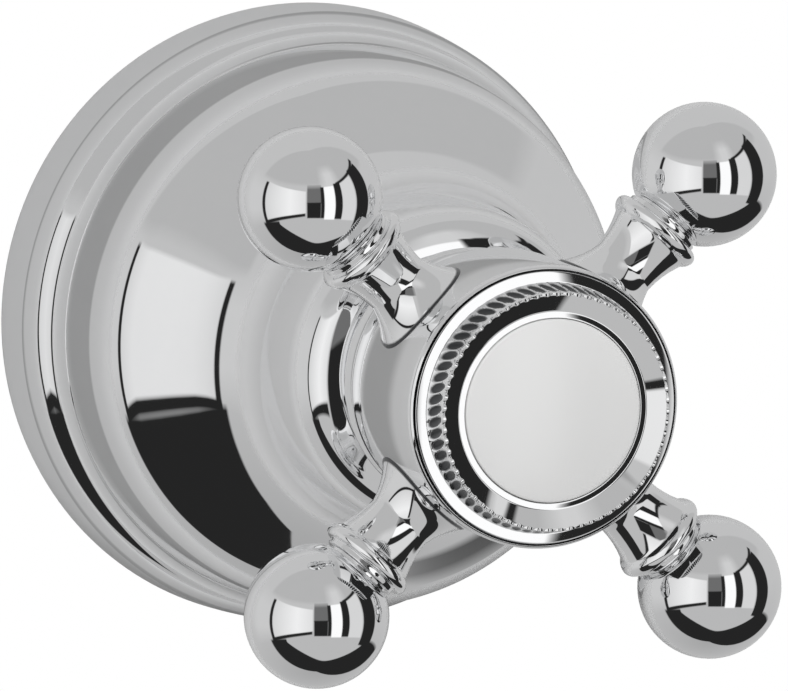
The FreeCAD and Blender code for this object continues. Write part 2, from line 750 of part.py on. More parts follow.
# Spindle extension, splined at its tip and socketed at its base.
extension = turned("spindle_extension", [
    ("spindle_radius + fit_gap", "extension_base", None),
    ("extension_radius", "extension_base", None),
    ("extension_radius", "spline_base", None),
    ("spline_radius", "spline_base", None),
    ("spline_radius", "spline_tip", None),
    ("screw_radius + fit_gap", "spline_tip", None),
    ("screw_radius + fit_gap", "screw_end - axial_gap", None),
    ("0", "screw_end - axial_gap", None),
    ("0", "extension_socket_top", None),
    ("spindle_radius + fit_gap", "extension_socket_top", None),
])
doc.recompute()
tooth = new_sketch(extension, "XY_Plane", along="spline_tip")
draw(tooth, box(
    "spline_radius - spline_depth", "spline_radius + 1",
    "-spline_width / 2", "spline_width / 2",
))
slot = feature(extension, "Pocket", tooth)
slot.setExpression("Length", bound("spline_tip - spline_base"))
doc.recompute()
splines = extension.newObject("PartDesign::PolarPattern", "splines")
splines.Originals = [slot]
axis = next(o for o in extension.Origin.OriginFeatures if o.Role == "Z_Axis")
splines.Axis = (axis, [""])
splines.Angle = 360
splines.setExpression("Occurrences", bound("spline_teeth"))
extension.Tip = splines
grub_sketch = new_sketch(extension, "XZ_Plane", above="grub_height")
grub_hole = box("spindle_radius", "extension_radius + 1", "0", "grub_radius + fit_gap")
spin(extension, draw(grub_sketch, grub_hole), "H_Axis", "Groove")
pieces.append(extension)
grub = new_body("grub_screw")
grub_sketch = new_sketch(grub, "XZ_Plane", above="grub_height")
grub_shank = box("spindle_radius + 2 * fit_gap", "grub_end", "0", "grub_radius")
spin(grub, draw(grub_sketch, grub_shank), "H_Axis")
pieces.append(grub)

# Support sleeve screwed over the neck of the valve body, with the ring that grips the bell.
ring_seat = "sleeve_radius - 2 * carrier_ring_cord"
ring_low = "carrier_ring_height - carrier_ring_cord - fit_gap"
ring_high = "carrier_ring_height + carrier_ring_cord + fit_gap"
bush_radius = "sleeve_bore_radius - sleeve_lip"
pieces.append(turned("support_sleeve", [
    ("body_neck_radius + fit_gap", "sleeve_base", None),
    ("sleeve_radius", "sleeve_base", None),
    ("sleeve_radius", ring_low, None),
    (ring_seat, ring_low, None),
    (ring_seat, ring_high, None),
    ("sleeve_radius", ring_high, None),
    ("sleeve_radius", "sleeve_top", None),
    (bush_radius, "sleeve_top", None),
    (bush_radius, "sleeve_top - bush_length", None),
    ("sleeve_bore_radius", "sleeve_top - bush_length", None),
    ("sleeve_bore_radius", "sleeve_base + sleeve_thread_depth", None),
    ("body_neck_radius + fit_gap", "sleeve_base + sleeve_thread_depth", None),
]))
pieces.append(ring(
    "carrier_ring",
    "sleeve_radius - carrier_ring_cord",
    "carrier_ring_cord - fit_gap / 2",
    "carrier_ring_height",
))
pieces.append(tube(
    "guide_bush",
    "extension_radius + running_gap",
    f"{bush_radius} - fit_gap",
    "sleeve_top - bush_length",
    "sleeve_top",
))

# Spindle with its rubber rings, circlip and stop pin.
ring_floor = "spindle_radius - 2 * spindle_ring_cord"


def ring_groove(height):
    """The four corners of one ring groove in the spindle, from the bottom up."""
    low = f"{height} - spindle_ring_cord - fit_gap"
    high = f"{height} + spindle_ring_cord + fit_gap"
    return [
        ("spindle_radius", low, None),
        (ring_floor, low, None),
        (ring_floor, high, None),
        ("spindle_radius", high, None),
    ]


flange_top = "spindle_flange_base + spindle_flange_thickness"
clip_floor = "spindle_radius - circlip_groove"
spindle = turned("spindle", [
    ("0", "spindle_flange_base", None),
    ("spindle_flange_radius", "spindle_flange_base", None),
    ("spindle_flange_radius", flange_top, None),
    ("spindle_radius", flange_top, None),
    *ring_groove("spindle_ring_lower"),
    *ring_groove("spindle_ring_upper"),
    ("spindle_radius", "circlip_height", None),
    (clip_floor, "circlip_height", None),
    (clip_floor, "circlip_height + circlip_thickness + fit_gap", None),
    ("spindle_radius", "circlip_height + circlip_thickness + fit_gap", None),
    ("spindle_radius", "spindle_tip", None),
    ("0", "spindle_tip", None),
])
doc.recompute()
tang = new_sketch(spindle, "XY_Plane", along="spindle_flange_base")
draw(tang, box("-rotor_radius / 2", "rotor_radius / 2", "-tang_width / 2", "tang_width / 2"))
tongue = feature(spindle, "Pad", tang, Reversed=True)
tongue.setExpression("Length", bound("tang_depth"))
pin_sketch = new_sketch(spindle, "XZ_Plane", above="stop_pin_height")
pin_hole = box("0", "spindle_radius + 1", "0", "stop_pin_radius + fit_gap")
spin(spindle, draw(pin_sketch, pin_hole), "H_Axis", "Groove")
pieces.append(spindle)
pieces.append(ring_set(
    "spindle_rings",
    "spindle_radius - spindle_ring_cord",
    "spindle_ring_cord - fit_gap / 2",
    ("spindle_ring_lower", "spindle_ring_upper"),
))
pieces.append(tube(
    "spindle_circlip",
    f"{clip_floor} + fit_gap",
    "circlip_radius",
    "circlip_height + fit_gap / 2",
    "circlip_height + circlip_thickness + fit_gap / 2",
))
pin = new_body("stop_pin")
pin_sketch = new_sketch(pin, "XZ_Plane", above="stop_pin_height")
spin(pin, draw(pin_sketch, box("fit_gap", "stop_pin_reach", "0", "stop_pin_radius")), "H_Axis")
pieces.append(pin)

# Bonnet: closes the body, guides the spindle and stops the pin after a quarter turn.
bore = "spindle_radius + running_gap"
pin_floor = "stop_pin_height - stop_pin_radius - axial_gap"
seal_floor = "bonnet_radius - 2 * bonnet_ring_cord"
bonnet_low = "bonnet_ring_height - bonnet_ring_cord - fit_gap"
bonnet_high = "bonnet_ring_height + bonnet_ring_cord + fit_gap"
bonnet = turned("bonnet", [
    (bore, "bonnet_base", None),
    ("bonnet_radius", "bonnet_base", None),
    ("bonnet_radius", bonnet_low, None),
    (seal_floor, bonnet_low, None),
    (seal_floor, bonnet_high, None),
    ("bonnet_radius", bonnet_high, None),
    ("bonnet_radius", "bonnet_flange_base", None),
    ("bonnet_flange_radius", "bonnet_flange_base", None),
    ("bonnet_flange_radius", "bonnet_flange_top", None),
    ("crown_radius", "bonnet_flange_top", None),
    ("crown_radius", "crown_top", None),
    ("spindle_radius + axial_gap", "crown_top", None),
    ("spindle_radius + axial_gap", "bonnet_flange_top", None),
    (bore, "bonnet_flange_top", None),
])
doc.recompute()
quarter = new_sketch(bonnet, "XY_Plane", along="crown_top")
side = "stop_pin_radius + axial_gap"
draw(quarter, [
    (f"-({side})", side, None),
    (f"-({side})", "-crown_radius", None),
    ("crown_bore_radius", "-crown_radius", None),
    ("crown_radius", "-crown_bore_radius", None),
    ("crown_radius", side, None),
])
notch = feature(bonnet, "Pocket", quarter)
notch.setExpression("Length", bound(f"crown_top - ({pin_floor})"))
pieces.append(bonnet)
pieces.append(ring(
    "bonnet_seal",
    "bonnet_radius - bonnet_ring_cord",
    "bonnet_ring_cord - fit_gap / 2",
    "bonnet_ring_height",
))

# Rotor with an L-shaped waterway from the inlet on the right to the upper outlet.
rotor = turned("diverter_rotor", box("0", "rotor_radius", "rotor_base", "rotor_top"))
for plane in ("XZ_Plane", "YZ_Plane"):
    way = new_sketch(rotor, plane, above="-port_depth")
    leg = [
        ("-rotor_way_radius", "0", None),
        ("rotor_radius + 1", "0", None),
        ("rotor_radius + 1", "rotor_way_radius", None),
        ("0", "rotor_way_radius", "0.4142"),
    ]
    spin(rotor, draw(way, leg), "H_Axis", "Groove")
doc.recompute()
key = new_sketch(rotor, "XY_Plane", along="rotor_top")
draw(key, box(
    "-rotor_radius / 2 - fit_gap", "rotor_radius / 2 + fit_gap",
    "-tang_width / 2 - fit_gap", "tang_width / 2 + fit_gap",
))
feature(rotor, "Pocket", key).setExpression("Length", bound("tang_depth + axial_gap"))
pieces.append(rotor)

# Cartridge sleeve round the rotor, with a window and a seal for each port.
seat_floor = "cartridge_radius - 2 * cartridge_ring_cord"


def sleeve_groove(height):
    """The four corners of one ring groove in the cartridge sleeve, from the bottom up."""
    low = f"{height} - cartridge_ring_cord - fit_gap"
    high = f"{height} + cartridge_ring_cord + fit_gap"
    return [
        ("cartridge_radius", low, None),
        (seat_floor, low, None),
        (seat_floor, high, None),
        ("cartridge_radius", high, None),
    ]


sleeve_bore = "rotor_radius + running_gap"
floor_top = "cartridge_base + cartridge_floor"
cartridge = turned("cartridge_sleeve", [
    ("0", "cartridge_base", None),
    ("cartridge_radius", "cartridge_base", None),
    *sleeve_groove("cartridge_ring_lower"),
    *sleeve_groove("cartridge_ring_upper"),
    ("cartridge_radius", "cartridge_top", None),
    (sleeve_bore, "cartridge_top", None),
    (sleeve_bore, floor_top, None),
    ("0", floor_top, None),
])
PORTS = (("XZ_Plane", ""), ("YZ_Plane", ""), ("YZ_Plane", "-"))
for plane, sign in PORTS:
    window = new_sketch(cartridge, plane, above="-port_depth")
    reach = [f"{sign}(rotor_radius / 2)", f"{sign}(cartridge_radius + 1)"]
    spin(cartridge, draw(window, box(*reach, "0", "cartridge_way_radius")), "H_Axis", "Groove")
    seat = new_sketch(cartridge, plane, above="-port_depth")
    reach = [f"{sign}(cartridge_radius - seal_groove_depth)", f"{sign}(cartridge_radius + 1)"]
    spin(cartridge, draw(seat, box(*reach, "0", "seal_outer_radius")), "H_Axis", "Groove")
pieces.append(cartridge)
pieces.append(ring_set(
    "cartridge_rings",
    "cartridge_radius - cartridge_ring_cord",
    "cartridge_ring_cord - fit_gap / 2",
    ("cartridge_ring_lower", "cartridge_ring_upper"),
))
seals = []
for number, (plane, sign) in enumerate(PORTS, start=1):
    seal = new_body(f"port_seal_{number}", FreeCAD.Placement())
    sketch = new_sketch(seal, plane, above="-port_depth")
    reach = [
        f"{sign}(cartridge_radius - seal_groove_depth + fit_gap)",
        f"{sign}(cartridge_radius + 1)",
    ]
    rim = box(*reach, "cartridge_way_radius + fit_gap", "seal_outer_radius - fit_gap")
    spin(seal, draw(sketch, rim), "H_Axis")
    outside = draw_circle(new_sketch(seal, "XY_Plane"), "body_bore_radius - fit_gap")
    cut_through(seal, draw_circle(outside, "port_reach"))
    seals.append(seal)
pieces.append(grouped("port_seals", seals))
pieces.append(tube(
    "thrust_washer",
    "rotor_way_radius",
    "thrust_radius",
    f"{floor_top} + fit_gap",
    f"{floor_top} + fit_gap + thrust_thickness",
))

# Valve body: a bored core with a threaded neck, an inlet on the right and two outlets.
valve = turned("valve_body", [
    ("0", "body_back", None),
    ("body_radius", "body_back", None),
    ("body_radius", "body_neck_base", None),
    ("body_neck_radius", "body_neck_base", None),
    ("body_neck_radius", "body_front", None),
    ("0", "body_front", None),
])
outlets = new_sketch(valve, "YZ_Plane", above="-port_depth")
spin(valve, draw(outlets, box("-port_reach", "port_reach", "0", "port_boss_radius")), "H_Axis")
inlet = new_sketch(valve, "XZ_Plane", above="-port_depth")
spin(valve, draw(inlet, box("0", "port_reach", "0", "port_boss_radius")), "H_Axis")
chamber = new_sketch(valve, "XZ_Plane")
chamber_floor = "cartridge_base - fit_gap"
chamber_outline = box("0", "body_bore_radius", chamber_floor, "body_front + 1")
spin(valve, draw(chamber, chamber_outline), "V_Axis", "Groove")
for plane, sign in PORTS:
    for radius, near in (
        ("port_way_radius", "0"),
        ("port_bore_radius", f"{sign}(port_reach - port_bore_length)"),
    ):
        bore_sketch = new_sketch(valve, plane, above="-port_depth")
        spin(valve, draw(bore_sketch, box(near, f"{sign}(port_reach + 1)", "0", radius)),
             "H_Axis", "Groove")
pieces.append(valve)

doc.recompute()
for item in doc.Objects:
    if "Invalid" in item.State or "Error" in item.State:
        raise RuntimeError(f"{item.Label} did not build: {item.State}")
os.makedirs("parts", exist_ok=True)
for piece in pieces:
    if piece.Shape.isNull() or not piece.Shape.isValid():
        raise RuntimeError(f"{piece.Label} has no valid shape")
    piece.Shape.exportStep(f"parts/{piece.Label}.step")
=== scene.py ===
# %% [markdown]
# # A concealed diverter valve, dressed in Blender
# The valve has two halves. The trim in front of the wall is polished chrome: a flange, a bell
# and a cross handle with a white porcelain button. The brass works behind the wall are seen only
# from the back. The CAD frame already holds every piece at its true size, so this lesson loads it,
# redraws the pieces that the eye meets with finer edges, and gives every surface its finish.

# %% Load the frame and keep the CAD box
import json
import math

import bmesh
import bpy
import numpy as np
from mathutils import Matrix, Quaternion, Vector


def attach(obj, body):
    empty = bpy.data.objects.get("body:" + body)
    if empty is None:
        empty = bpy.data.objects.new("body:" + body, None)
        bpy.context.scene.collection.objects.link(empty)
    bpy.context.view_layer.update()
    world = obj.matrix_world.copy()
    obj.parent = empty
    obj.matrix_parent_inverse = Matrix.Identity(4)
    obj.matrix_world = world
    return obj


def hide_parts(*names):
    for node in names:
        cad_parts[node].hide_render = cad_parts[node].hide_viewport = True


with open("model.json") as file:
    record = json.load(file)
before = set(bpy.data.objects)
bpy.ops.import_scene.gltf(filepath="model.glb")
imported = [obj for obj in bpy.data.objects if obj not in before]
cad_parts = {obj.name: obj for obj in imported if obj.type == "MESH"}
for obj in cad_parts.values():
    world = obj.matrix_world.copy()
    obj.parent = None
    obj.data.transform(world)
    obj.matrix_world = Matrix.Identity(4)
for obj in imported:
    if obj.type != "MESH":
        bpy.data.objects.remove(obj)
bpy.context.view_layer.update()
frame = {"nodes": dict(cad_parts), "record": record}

MM = 0.001

# %% [markdown]
# ## The camera
# The photograph was taken with a long lens from a little to the left and a little above. The
# flange, the bell and the neck all show as ellipses, and their shapes give the angle: the flatter
# an ellipse, the further round the camera stands. A long lens far away keeps the near balls and
# the far flange at almost the same scale, as they are in the photograph.

# %% Place the camera where the photograph was taken
VIEW_AZIMUTH = math.radians(-19.56)
VIEW_ELEVATION = math.radians(8.03)
VIEW_ROLL = math.radians(-0.05)
VIEW_TARGET = Vector((11.97, 0.0, -4.72)) * MM
VIEW_DISTANCE = 1384.0 * MM
LENS_MM, SENSOR_MM = 561.9, 36.0
CLIP_NEAR, CLIP_FAR = 0.05, 50.0

towards_camera = Vector((
    math.sin(VIEW_AZIMUTH) * math.cos(VIEW_ELEVATION),
    -math.cos(VIEW_AZIMUTH) * math.cos(VIEW_ELEVATION),
    math.sin(VIEW_ELEVATION),
))
camera = bpy.data.objects.new("photo_camera", bpy.data.cameras.new("photo_camera"))
bpy.context.collection.objects.link(camera)
camera.data.lens = LENS_MM
camera.data.sensor_width = SENSOR_MM
camera.data.clip_start = CLIP_NEAR
camera.data.clip_end = CLIP_FAR
camera.location = VIEW_TARGET + towards_camera * VIEW_DISTANCE
camera.rotation_mode = "QUATERNION"
level_look = (-towards_camera).to_track_quat("-Z", "Y")
camera.rotation_quaternion = Quaternion(towards_camera, VIEW_ROLL) @ level_look
bpy.context.scene.camera = camera
bpy.context.scene.view_settings.view_transform = "Standard"
print("camera stands", round(VIEW_DISTANCE, 3), "m away with a", LENS_MM, "mm lens")

# %% [markdown]
# ## Writing node trees as sums
# A material is a small sum: a base value, plus some noise, times a mask. Wiring each Math node by
# hand hides that sum, so one class wraps a socket and lets Python's own operators add the nodes.
# Everything else, such as a noise texture or a ramp, comes from a single method, `node`.

# %% A socket that can be added, multiplied and masked
class Field:
    """An output socket of a node tree, usable in Python sums."""

    def __init__(self, tree, socket):
        self.tree = tree
        self.socket = socket

    def node(self, kind, settings=None, inputs=None, output=0):
        return add_node(self.tree, kind, settings, inputs, output)

    def math(self, operation, *others, clamp=False):
        settings = {"operation": operation, "use_clamp": clamp}
        return self.node("ShaderNodeMath", settings, dict(enumerate((self, *others))))

    def __add__(self, other):
        return self.math("ADD", other)

    def __sub__(self, other):
        return self.math("SUBTRACT", other)

    def __mul__(self, other):
        return self.math("MULTIPLY", other)

    def __truediv__(self, other):
        return self.math("DIVIDE", other)

    def __rsub__(self, other):
        return (self * -1.0) + other

    def __rtruediv__(self, other):
        return self.math("POWER", -1.0) * other

    __radd__ = __add__
    __rmul__ = __mul__

    def part(self, index):
        """Another output of the same node."""
        return Field(self.tree, self.socket.node.outputs[index])

    def above(self, edge, soft):
        """1 where the value is over an edge, with a step that is 2 * soft wide."""
        return ((self - edge) / (2.0 * soft)).math("ADD", 0.5, clamp=True)

    def below(self, edge, soft):
        return 1.0 - self.above(edge, soft)

    def towards(self, level, mask):
        """Move from this value to a level where the mask is 1."""
        return self + (level - self) * mask


def add_node(tree, kind, settings=None, inputs=None, output=0):
    """Make any node: its settings first, then its sockets, from values or links."""
    made = tree.nodes.new(kind)
    for name, setting in (settings or {}).items():
        if name == "stops":
            while len(made.color_ramp.elements) < len(setting):
                made.color_ramp.elements.new(0.5)
            for element, (place, colour) in zip(made.color_ramp.elements, setting):
                element.position = place
                element.color = colour
        else:
            setattr(made, name, setting)
    for name, value in (inputs or {}).items():
        if isinstance(value, Field):
            tree.links.new(value.socket, made.inputs[name])
        else:
            made.inputs[name].default_value = value
    return Field(tree, made.outputs[output]) if made.outputs else None


print("socket sums ready")

# %% [markdown]
# ## The studio that the chrome reflects
# Polished chrome has no colour of its own: what you see on it is the room. The photograph's room
# can be read off the four balls: a large soft box on the left, a dark gap round the camera, a
# narrow bright panel and a wide pale one on the right with a black card behind, a pale table
# below with black under its edge, and light grey walls and ceiling. Real cards round the object
# would get in the way of other views, so the room is painted into the world by direction instead:
# azimuth and elevation of each ray pick the panel. The camera itself sees plain white.

# %% Turn a ray's direction into azimuth and elevation
world = bpy.data.worlds.new("studio")
bpy.context.scene.world = world
world.use_nodes = True
room = world.node_tree
room.nodes.clear()
ray = add_node(room, "ShaderNodeTexCoord")
ray_x = add_node(room, "ShaderNodeSeparateXYZ", inputs={0: ray})
ray_y, ray_z = ray_x.part(1), ray_x.part(2)
azimuth = ray_x.math("ARCTAN2", ray_y * -1.0) * (180.0 / math.pi)
elevation = ray_z.math("ARCSINE") * (180.0 / math.pi)
PANEL_SOFT = 0.9


def panel(left, right, low, high, soft=PANEL_SOFT):
    """A mask for the part of the room between two azimuths and two elevations, in degrees."""
    upright = azimuth.above(left, soft) * azimuth.below(right, soft)
    return upright * elevation.above(low, soft) * elevation.below(high, soft)


print("a panel of the room takes", len(room.nodes), "nodes to aim")

# %% Paint the walls, the ceiling and the table
WALL, WALL_FALL, LEFT_WALL, CEILING, TABLE, DARK = 0.577, 0.0018, 0.64, 0.50, 0.53, 0.020
PANEL_GLOW = 0.68
TABLE_FRONT, TABLE_CURVE = 66.0, 0.0066

light = elevation.math("MINIMUM", 0.0) * WALL_FALL + WALL
light = light.towards(LEFT_WALL, panel(-135.0, -90.0, -20.0, 22.0, soft=9.0))
light = light.towards(CEILING, panel(-110.0, 108.0, 29.0, 95.0, soft=3.0))
light = light.towards(PANEL_GLOW, panel(4.0, 30.0, 20.0, 52.0, soft=8.0))
light = light.towards(DARK, panel(-104.0, 118.0, -95.0, -27.0, soft=1.5))
table_edge = azimuth * azimuth * TABLE_CURVE - TABLE_FRONT
light = light.towards(TABLE, panel(-72.0, 76.0, table_edge, -19.0))
print("walls, ceiling and table take", len(room.nodes), "nodes")

# %% Hang the soft box on the left and leave the dark gap round the camera
SOFT_BOX_LEFT, SOFT_BOX_RIGHT, FRAME_WIDTH = -93.0, -25.0, 6.0
SOFT_BOX_PEAK, SOFT_BOX_CENTRE, SOFT_BOX_FALL = 0.955, -50.0, 0.0055
BOX_LOW, BOX_LOW_SLOPE = -15.0, 0.13
BOX_HIGH, BOX_HIGH_SLOPE = 18.8, -0.09
SKIRT_DROP = 5.0
CAMERA_STAND = 0.165

from_right = azimuth - SOFT_BOX_RIGHT
box_low = from_right * BOX_LOW_SLOPE + BOX_LOW
box_high = from_right * BOX_HIGH_SLOPE + BOX_HIGH
frame_left = SOFT_BOX_LEFT - FRAME_WIDTH
light = light.towards(DARK, panel(frame_left, SOFT_BOX_LEFT, -34.0, 24.0))
light = light.towards(DARK, panel(frame_left, -26.0, box_low - SKIRT_DROP, box_low))
off_centre = (azimuth - SOFT_BOX_CENTRE).math("ABSOLUTE")
soft_box = SOFT_BOX_PEAK - off_centre * SOFT_BOX_FALL
light = light.towards(soft_box, panel(SOFT_BOX_LEFT, SOFT_BOX_RIGHT, box_low, box_high))
light = light.towards(CAMERA_STAND, panel(-23.0, 1.0, 0.0, 29.0) * elevation.below(27.0, 5.0))
light = light.towards(DARK, panel(-23.0, -1.0, -23.0, 1.5))
print("the soft box is", SOFT_BOX_RIGHT - SOFT_BOX_LEFT, "degrees wide")

# %% Stand the bright panel, the pale panel and the black cards on the right
BRIGHT_PANEL, PALE_PANEL = 1.085, 0.73
ARC_START, ARC_FOOT, ARC_SLOPE, ARC_WIDTH = 28.0, 25.0, 0.24, 4.0

light = light.towards(DARK, panel(-1.0, 5.0, -23.0, 25.0))
light = light.towards(BRIGHT_PANEL, panel(5.0, 22.5, -25.0, 25.0))
light = light.towards(DARK, panel(22.5, 35.0, -24.0, 28.0))
light = light.towards(PALE_PANEL, panel(35.0, 59.0, -25.0, 31.0))
arc_low = (azimuth - ARC_START) * ARC_SLOPE + ARC_FOOT
light = light.towards(DARK, panel(27.0, 90.0, arc_low, arc_low + ARC_WIDTH))
light = light.towards(DARK, panel(61.0, 87.0, -34.0, 38.0))
print("the room's panels take", len(room.nodes), "nodes")

# %% Show the room to the chrome and plain white to the camera
WHITE = (1.0, 1.0, 1.0, 1.0)
to_camera = add_node(room, "ShaderNodeLightPath", output="Is Camera Ray")
glow = add_node(room, "ShaderNodeBackground", inputs={"Color": light})
blank = add_node(room, "ShaderNodeBackground", inputs={"Color": WHITE, "Strength": 1.0})
ground = add_node(room, "ShaderNodeMixShader", inputs={0: to_camera, 1: glow, 2: blank})
add_node(room, "ShaderNodeOutputWorld", inputs={"Surface": ground})
print("studio painted with", len(room.nodes), "nodes")

# %% [markdown]
# ## Floor and key light
# The valve hangs on a wall, so no floor touches it. A pale floor far below closes the scene and
# bounces light up under the pieces. One broad lamp from the upper left gives the porcelain and
# the rubber a soft fall-off; it is hidden from mirror reflections, because the room already holds
# every panel that the chrome should show.

# %% Lay the floor
FLOOR_DROP, FLOOR_HALF = 3.3, 9.0
FLOOR_GREY = (0.85, 0.85, 0.85, 1.0)
SQUARE = ((-1, -1), (1, -1), (1, 1), (-1, 1))


def bare_material(name):
    """A material with an empty node tree, and the tree."""
    material = bpy.data.materials.new(name)
    material.use_nodes = True
    material.node_tree.nodes.clear()
    return material, material.node_tree


def flat_sheet(name, corners, material):
    """A sheet with four corners and one material."""
    mesh = bpy.data.meshes.new(name)
    mesh.from_pydata(corners, [], [(0, 1, 2, 3)])
    mesh.materials.append(material)
    sheet = bpy.data.objects.new(name, mesh)
    bpy.context.collection.objects.link(sheet)
    return sheet


floor_paint, paper = bare_material("floor_paper")
to_camera = add_node(paper, "ShaderNodeLightPath", output="Is Camera Ray")
matt = add_node(paper, "ShaderNodeBsdfDiffuse", inputs={"Color": FLOOR_GREY})
blank = add_node(paper, "ShaderNodeEmission", inputs={"Color": WHITE, "Strength": 1.0})
surface = add_node(paper, "ShaderNodeMixShader", inputs={0: to_camera, 1: matt, 2: blank})
add_node(paper, "ShaderNodeOutputMaterial", inputs={"Surface": surface})
corners = [(x * FLOOR_HALF, y * FLOOR_HALF, -FLOOR_DROP) for x, y in SQUARE]
floor = flat_sheet("studio_floor", corners, floor_paint)
floor.visible_glossy = False
print("floor lies", FLOOR_DROP, "m below")

# %% Hang the key lamp
KEY_PLACE = Vector((-0.5, -1.3, 1.0))
KEY_SIZE = 0.9
KEY_WATTS = 12.5
key = bpy.data.objects.new("key_lamp", bpy.data.lights.new("key_lamp", "AREA"))
bpy.context.collection.objects.link(key)
key.data.size = KEY_SIZE
key.data.energy = KEY_WATTS
key.location = KEY_PLACE
key.rotation_mode = "QUATERNION"
key.rotation_quaternion = KEY_PLACE.to_track_quat("Z", "Y")
key.visible_glossy = False
print("key lamp hangs", round(KEY_PLACE.length, 2), "m away")

# %% [markdown]
# ## The wall in the mirror
# The valve is fixed to a wall. It is shown cut out on white, yet its chrome still mirrors that
# wall. The wall carries painted shade: darker close to the flange, where the valve would shade it,
# and darkest in a painted band round the flange, which the bell's drum repeats as a grey hoop. So
# a patch of pale wall stands just behind the flange, which only mirror rays can see: it is hidden
# from the camera, and it blocks no light, so the works behind it stay in view from the back. The
# patch fades out before it would hide the painted room from the chrome.

# %% Paint shade on the wall, darker round the flange
WALL_GAP, WALL_HALF = 0.4 * MM, 120.0 * MM
SHADE_MIDDLE, SHADE_SOFT = 54.0 * MM, 13.0 * MM
BAND_CENTRE = (-3.3 * MM, WALL_GAP, 1.4 * MM)
BAND_INNER, BAND_OUTER, BAND_SOFT = 36.4 * MM, 40.9 * MM, 0.45 * MM
FADE_MIDDLE, FADE_SOFT = 86.0 * MM, 9.0 * MM
# The near and band tones are painted shade; the far tone is the wall's own.
NEAR_PAINTED_SHADE, FAR_TONE, BAND_PAINTED_SHADE = [(tone, tone, tone, 1.0) for tone in (0.62, 0.74, 0.41)]


def blend(factor, first, second):
    """A colour that runs from the first to the second."""
    inputs = {"Factor": factor, 6: first, 7: second}
    return factor.node("ShaderNodeMix", {"data_type": "RGBA"}, inputs, output=2)


wall_with_painted_shade, paint = bare_material("wall_with_painted_shade")
spot = add_node(paint, "ShaderNodeTexCoord", output="Object")
off_axis = add_node(paint, "ShaderNodeVectorMath", {"operation": "LENGTH"}, {0: spot}, output=1)
# Painted shade on the wall: darker near the flange, and darkest in a band round it.
wall_tone_and_painted_shade = blend(off_axis.above(SHADE_MIDDLE, SHADE_SOFT), NEAR_PAINTED_SHADE, FAR_TONE)
measure = {"operation": "DISTANCE"}
off_band = add_node(paint, "ShaderNodeVectorMath", measure, {0: spot, 1: BAND_CENTRE}, output=1)
band = off_band.above(BAND_INNER, BAND_SOFT) * off_band.below(BAND_OUTER, BAND_SOFT)
wall_tone_and_painted_shade = blend(band, wall_tone_and_painted_shade, BAND_PAINTED_SHADE)
matt = add_node(paint, "ShaderNodeBsdfDiffuse", inputs={"Color": wall_tone_and_painted_shade})
clear = add_node(paint, "ShaderNodeBsdfTransparent")
fade = off_axis.above(FADE_MIDDLE, FADE_SOFT)
patch = add_node(paint, "ShaderNodeMixShader", inputs={0: fade, 1: matt, 2: clear})
add_node(paint, "ShaderNodeOutputMaterial", inputs={"Surface": patch})
print("wall paint uses", len(paint.nodes), "nodes")

# %% Stand the wall behind the flange for mirror rays only
corners = [(x * WALL_HALF, WALL_GAP, z * WALL_HALF) for x, z in SQUARE]
wall = flat_sheet("mirrored_wall", corners, wall_with_painted_shade)
for ray_kind in ("camera", "diffuse", "transmission", "volume_scatter", "shadow"):
    setattr(wall, "visible_" + ray_kind, False)
print("wall stands", WALL_GAP / MM, "mm behind the flange")

# %% [markdown]
# ## The finishes
# Eight finishes cover the valve. Chrome plate is almost a perfect mirror, so its only detail is a
# faint change of gloss from polishing. A second chrome carries painted shade: it darkens where a
# point of the mesh carries the value "bite", in grooves, scoops and seams. Porcelain is white clay
# under clear glaze, which a coat layer gives. Turned brass shows fine lathe rings, cast brass a
# sandy skin. Steel is brushed, acetal is a slightly waxy white plastic and rubber is dull black.
# Each is built from noise and waves on Object coordinates, so that nothing slides when the handle
# turns.

# %% Start a finish from noise in the piece's own space
def new_finish(name):
    """An empty material, its tree and its Object coordinates."""
    finish, tree = bare_material(name)
    return finish, tree, add_node(tree, "ShaderNodeTexCoord", output="Object")


def grain(place, size_mm, detail=3.0, roughness=0.5):
    """Noise whose lumps are about size_mm wide, from 0 to 1."""
    settings = {"Scale": 1.0 / (size_mm * MM), "Detail": detail, "Roughness": roughness}
    return place.node("ShaderNodeTexNoise", inputs={"Vector": place, **settings})


def tint(factor, dark, light):
    """Blend two plain colours by a value."""
    return blend(factor, (*dark, 1.0), (*light, 1.0))


def close_finish(finish, tree, **sockets):
    """Wire the Principled shader; names use _ for spaces."""
    inputs = {name.replace("_", " "): value for name, value in sockets.items()}
    shader = add_node(tree, "ShaderNodeBsdfPrincipled", inputs=inputs)
    add_node(tree, "ShaderNodeOutputMaterial", inputs={"Surface": shader})
    print("finish", finish.name, "uses", len(tree.nodes), "nodes")
    return finish


print("ready to mix finishes")

# %% Chrome plate and porcelain
finish, tree, place = new_finish("chrome_plate")
haze = grain(place, 9.0) * 0.5 + grain(place, 1.6) * 0.5
CHROME = close_finish(
    finish, tree,
    Base_Color=tint(haze, (0.875, 0.880, 0.890), (0.915, 0.917, 0.920)),
    Metallic=1.0,
    Roughness=haze * 0.035 + 0.012,
)

# Chrome with painted shade: dark where the value "bite" marks grooves, scoops and seams.
finish, tree, place = new_finish("chrome_with_painted_shade")
bitten = add_node(tree, "ShaderNodeAttribute", {"attribute_name": "bite"}, output="Fac")
cover = (bitten * 1.5 + grain(place, 0.5) * 0.3).above(0.75, 0.35)
CHROME_WITH_PAINTED_SHADE = close_finish(
    finish, tree,
    Base_Color=tint(cover, (0.905, 0.908, 0.913), (0.075, 0.077, 0.080)),
    Metallic=1.0,
    Roughness=cover * 0.25 + 0.03,
)

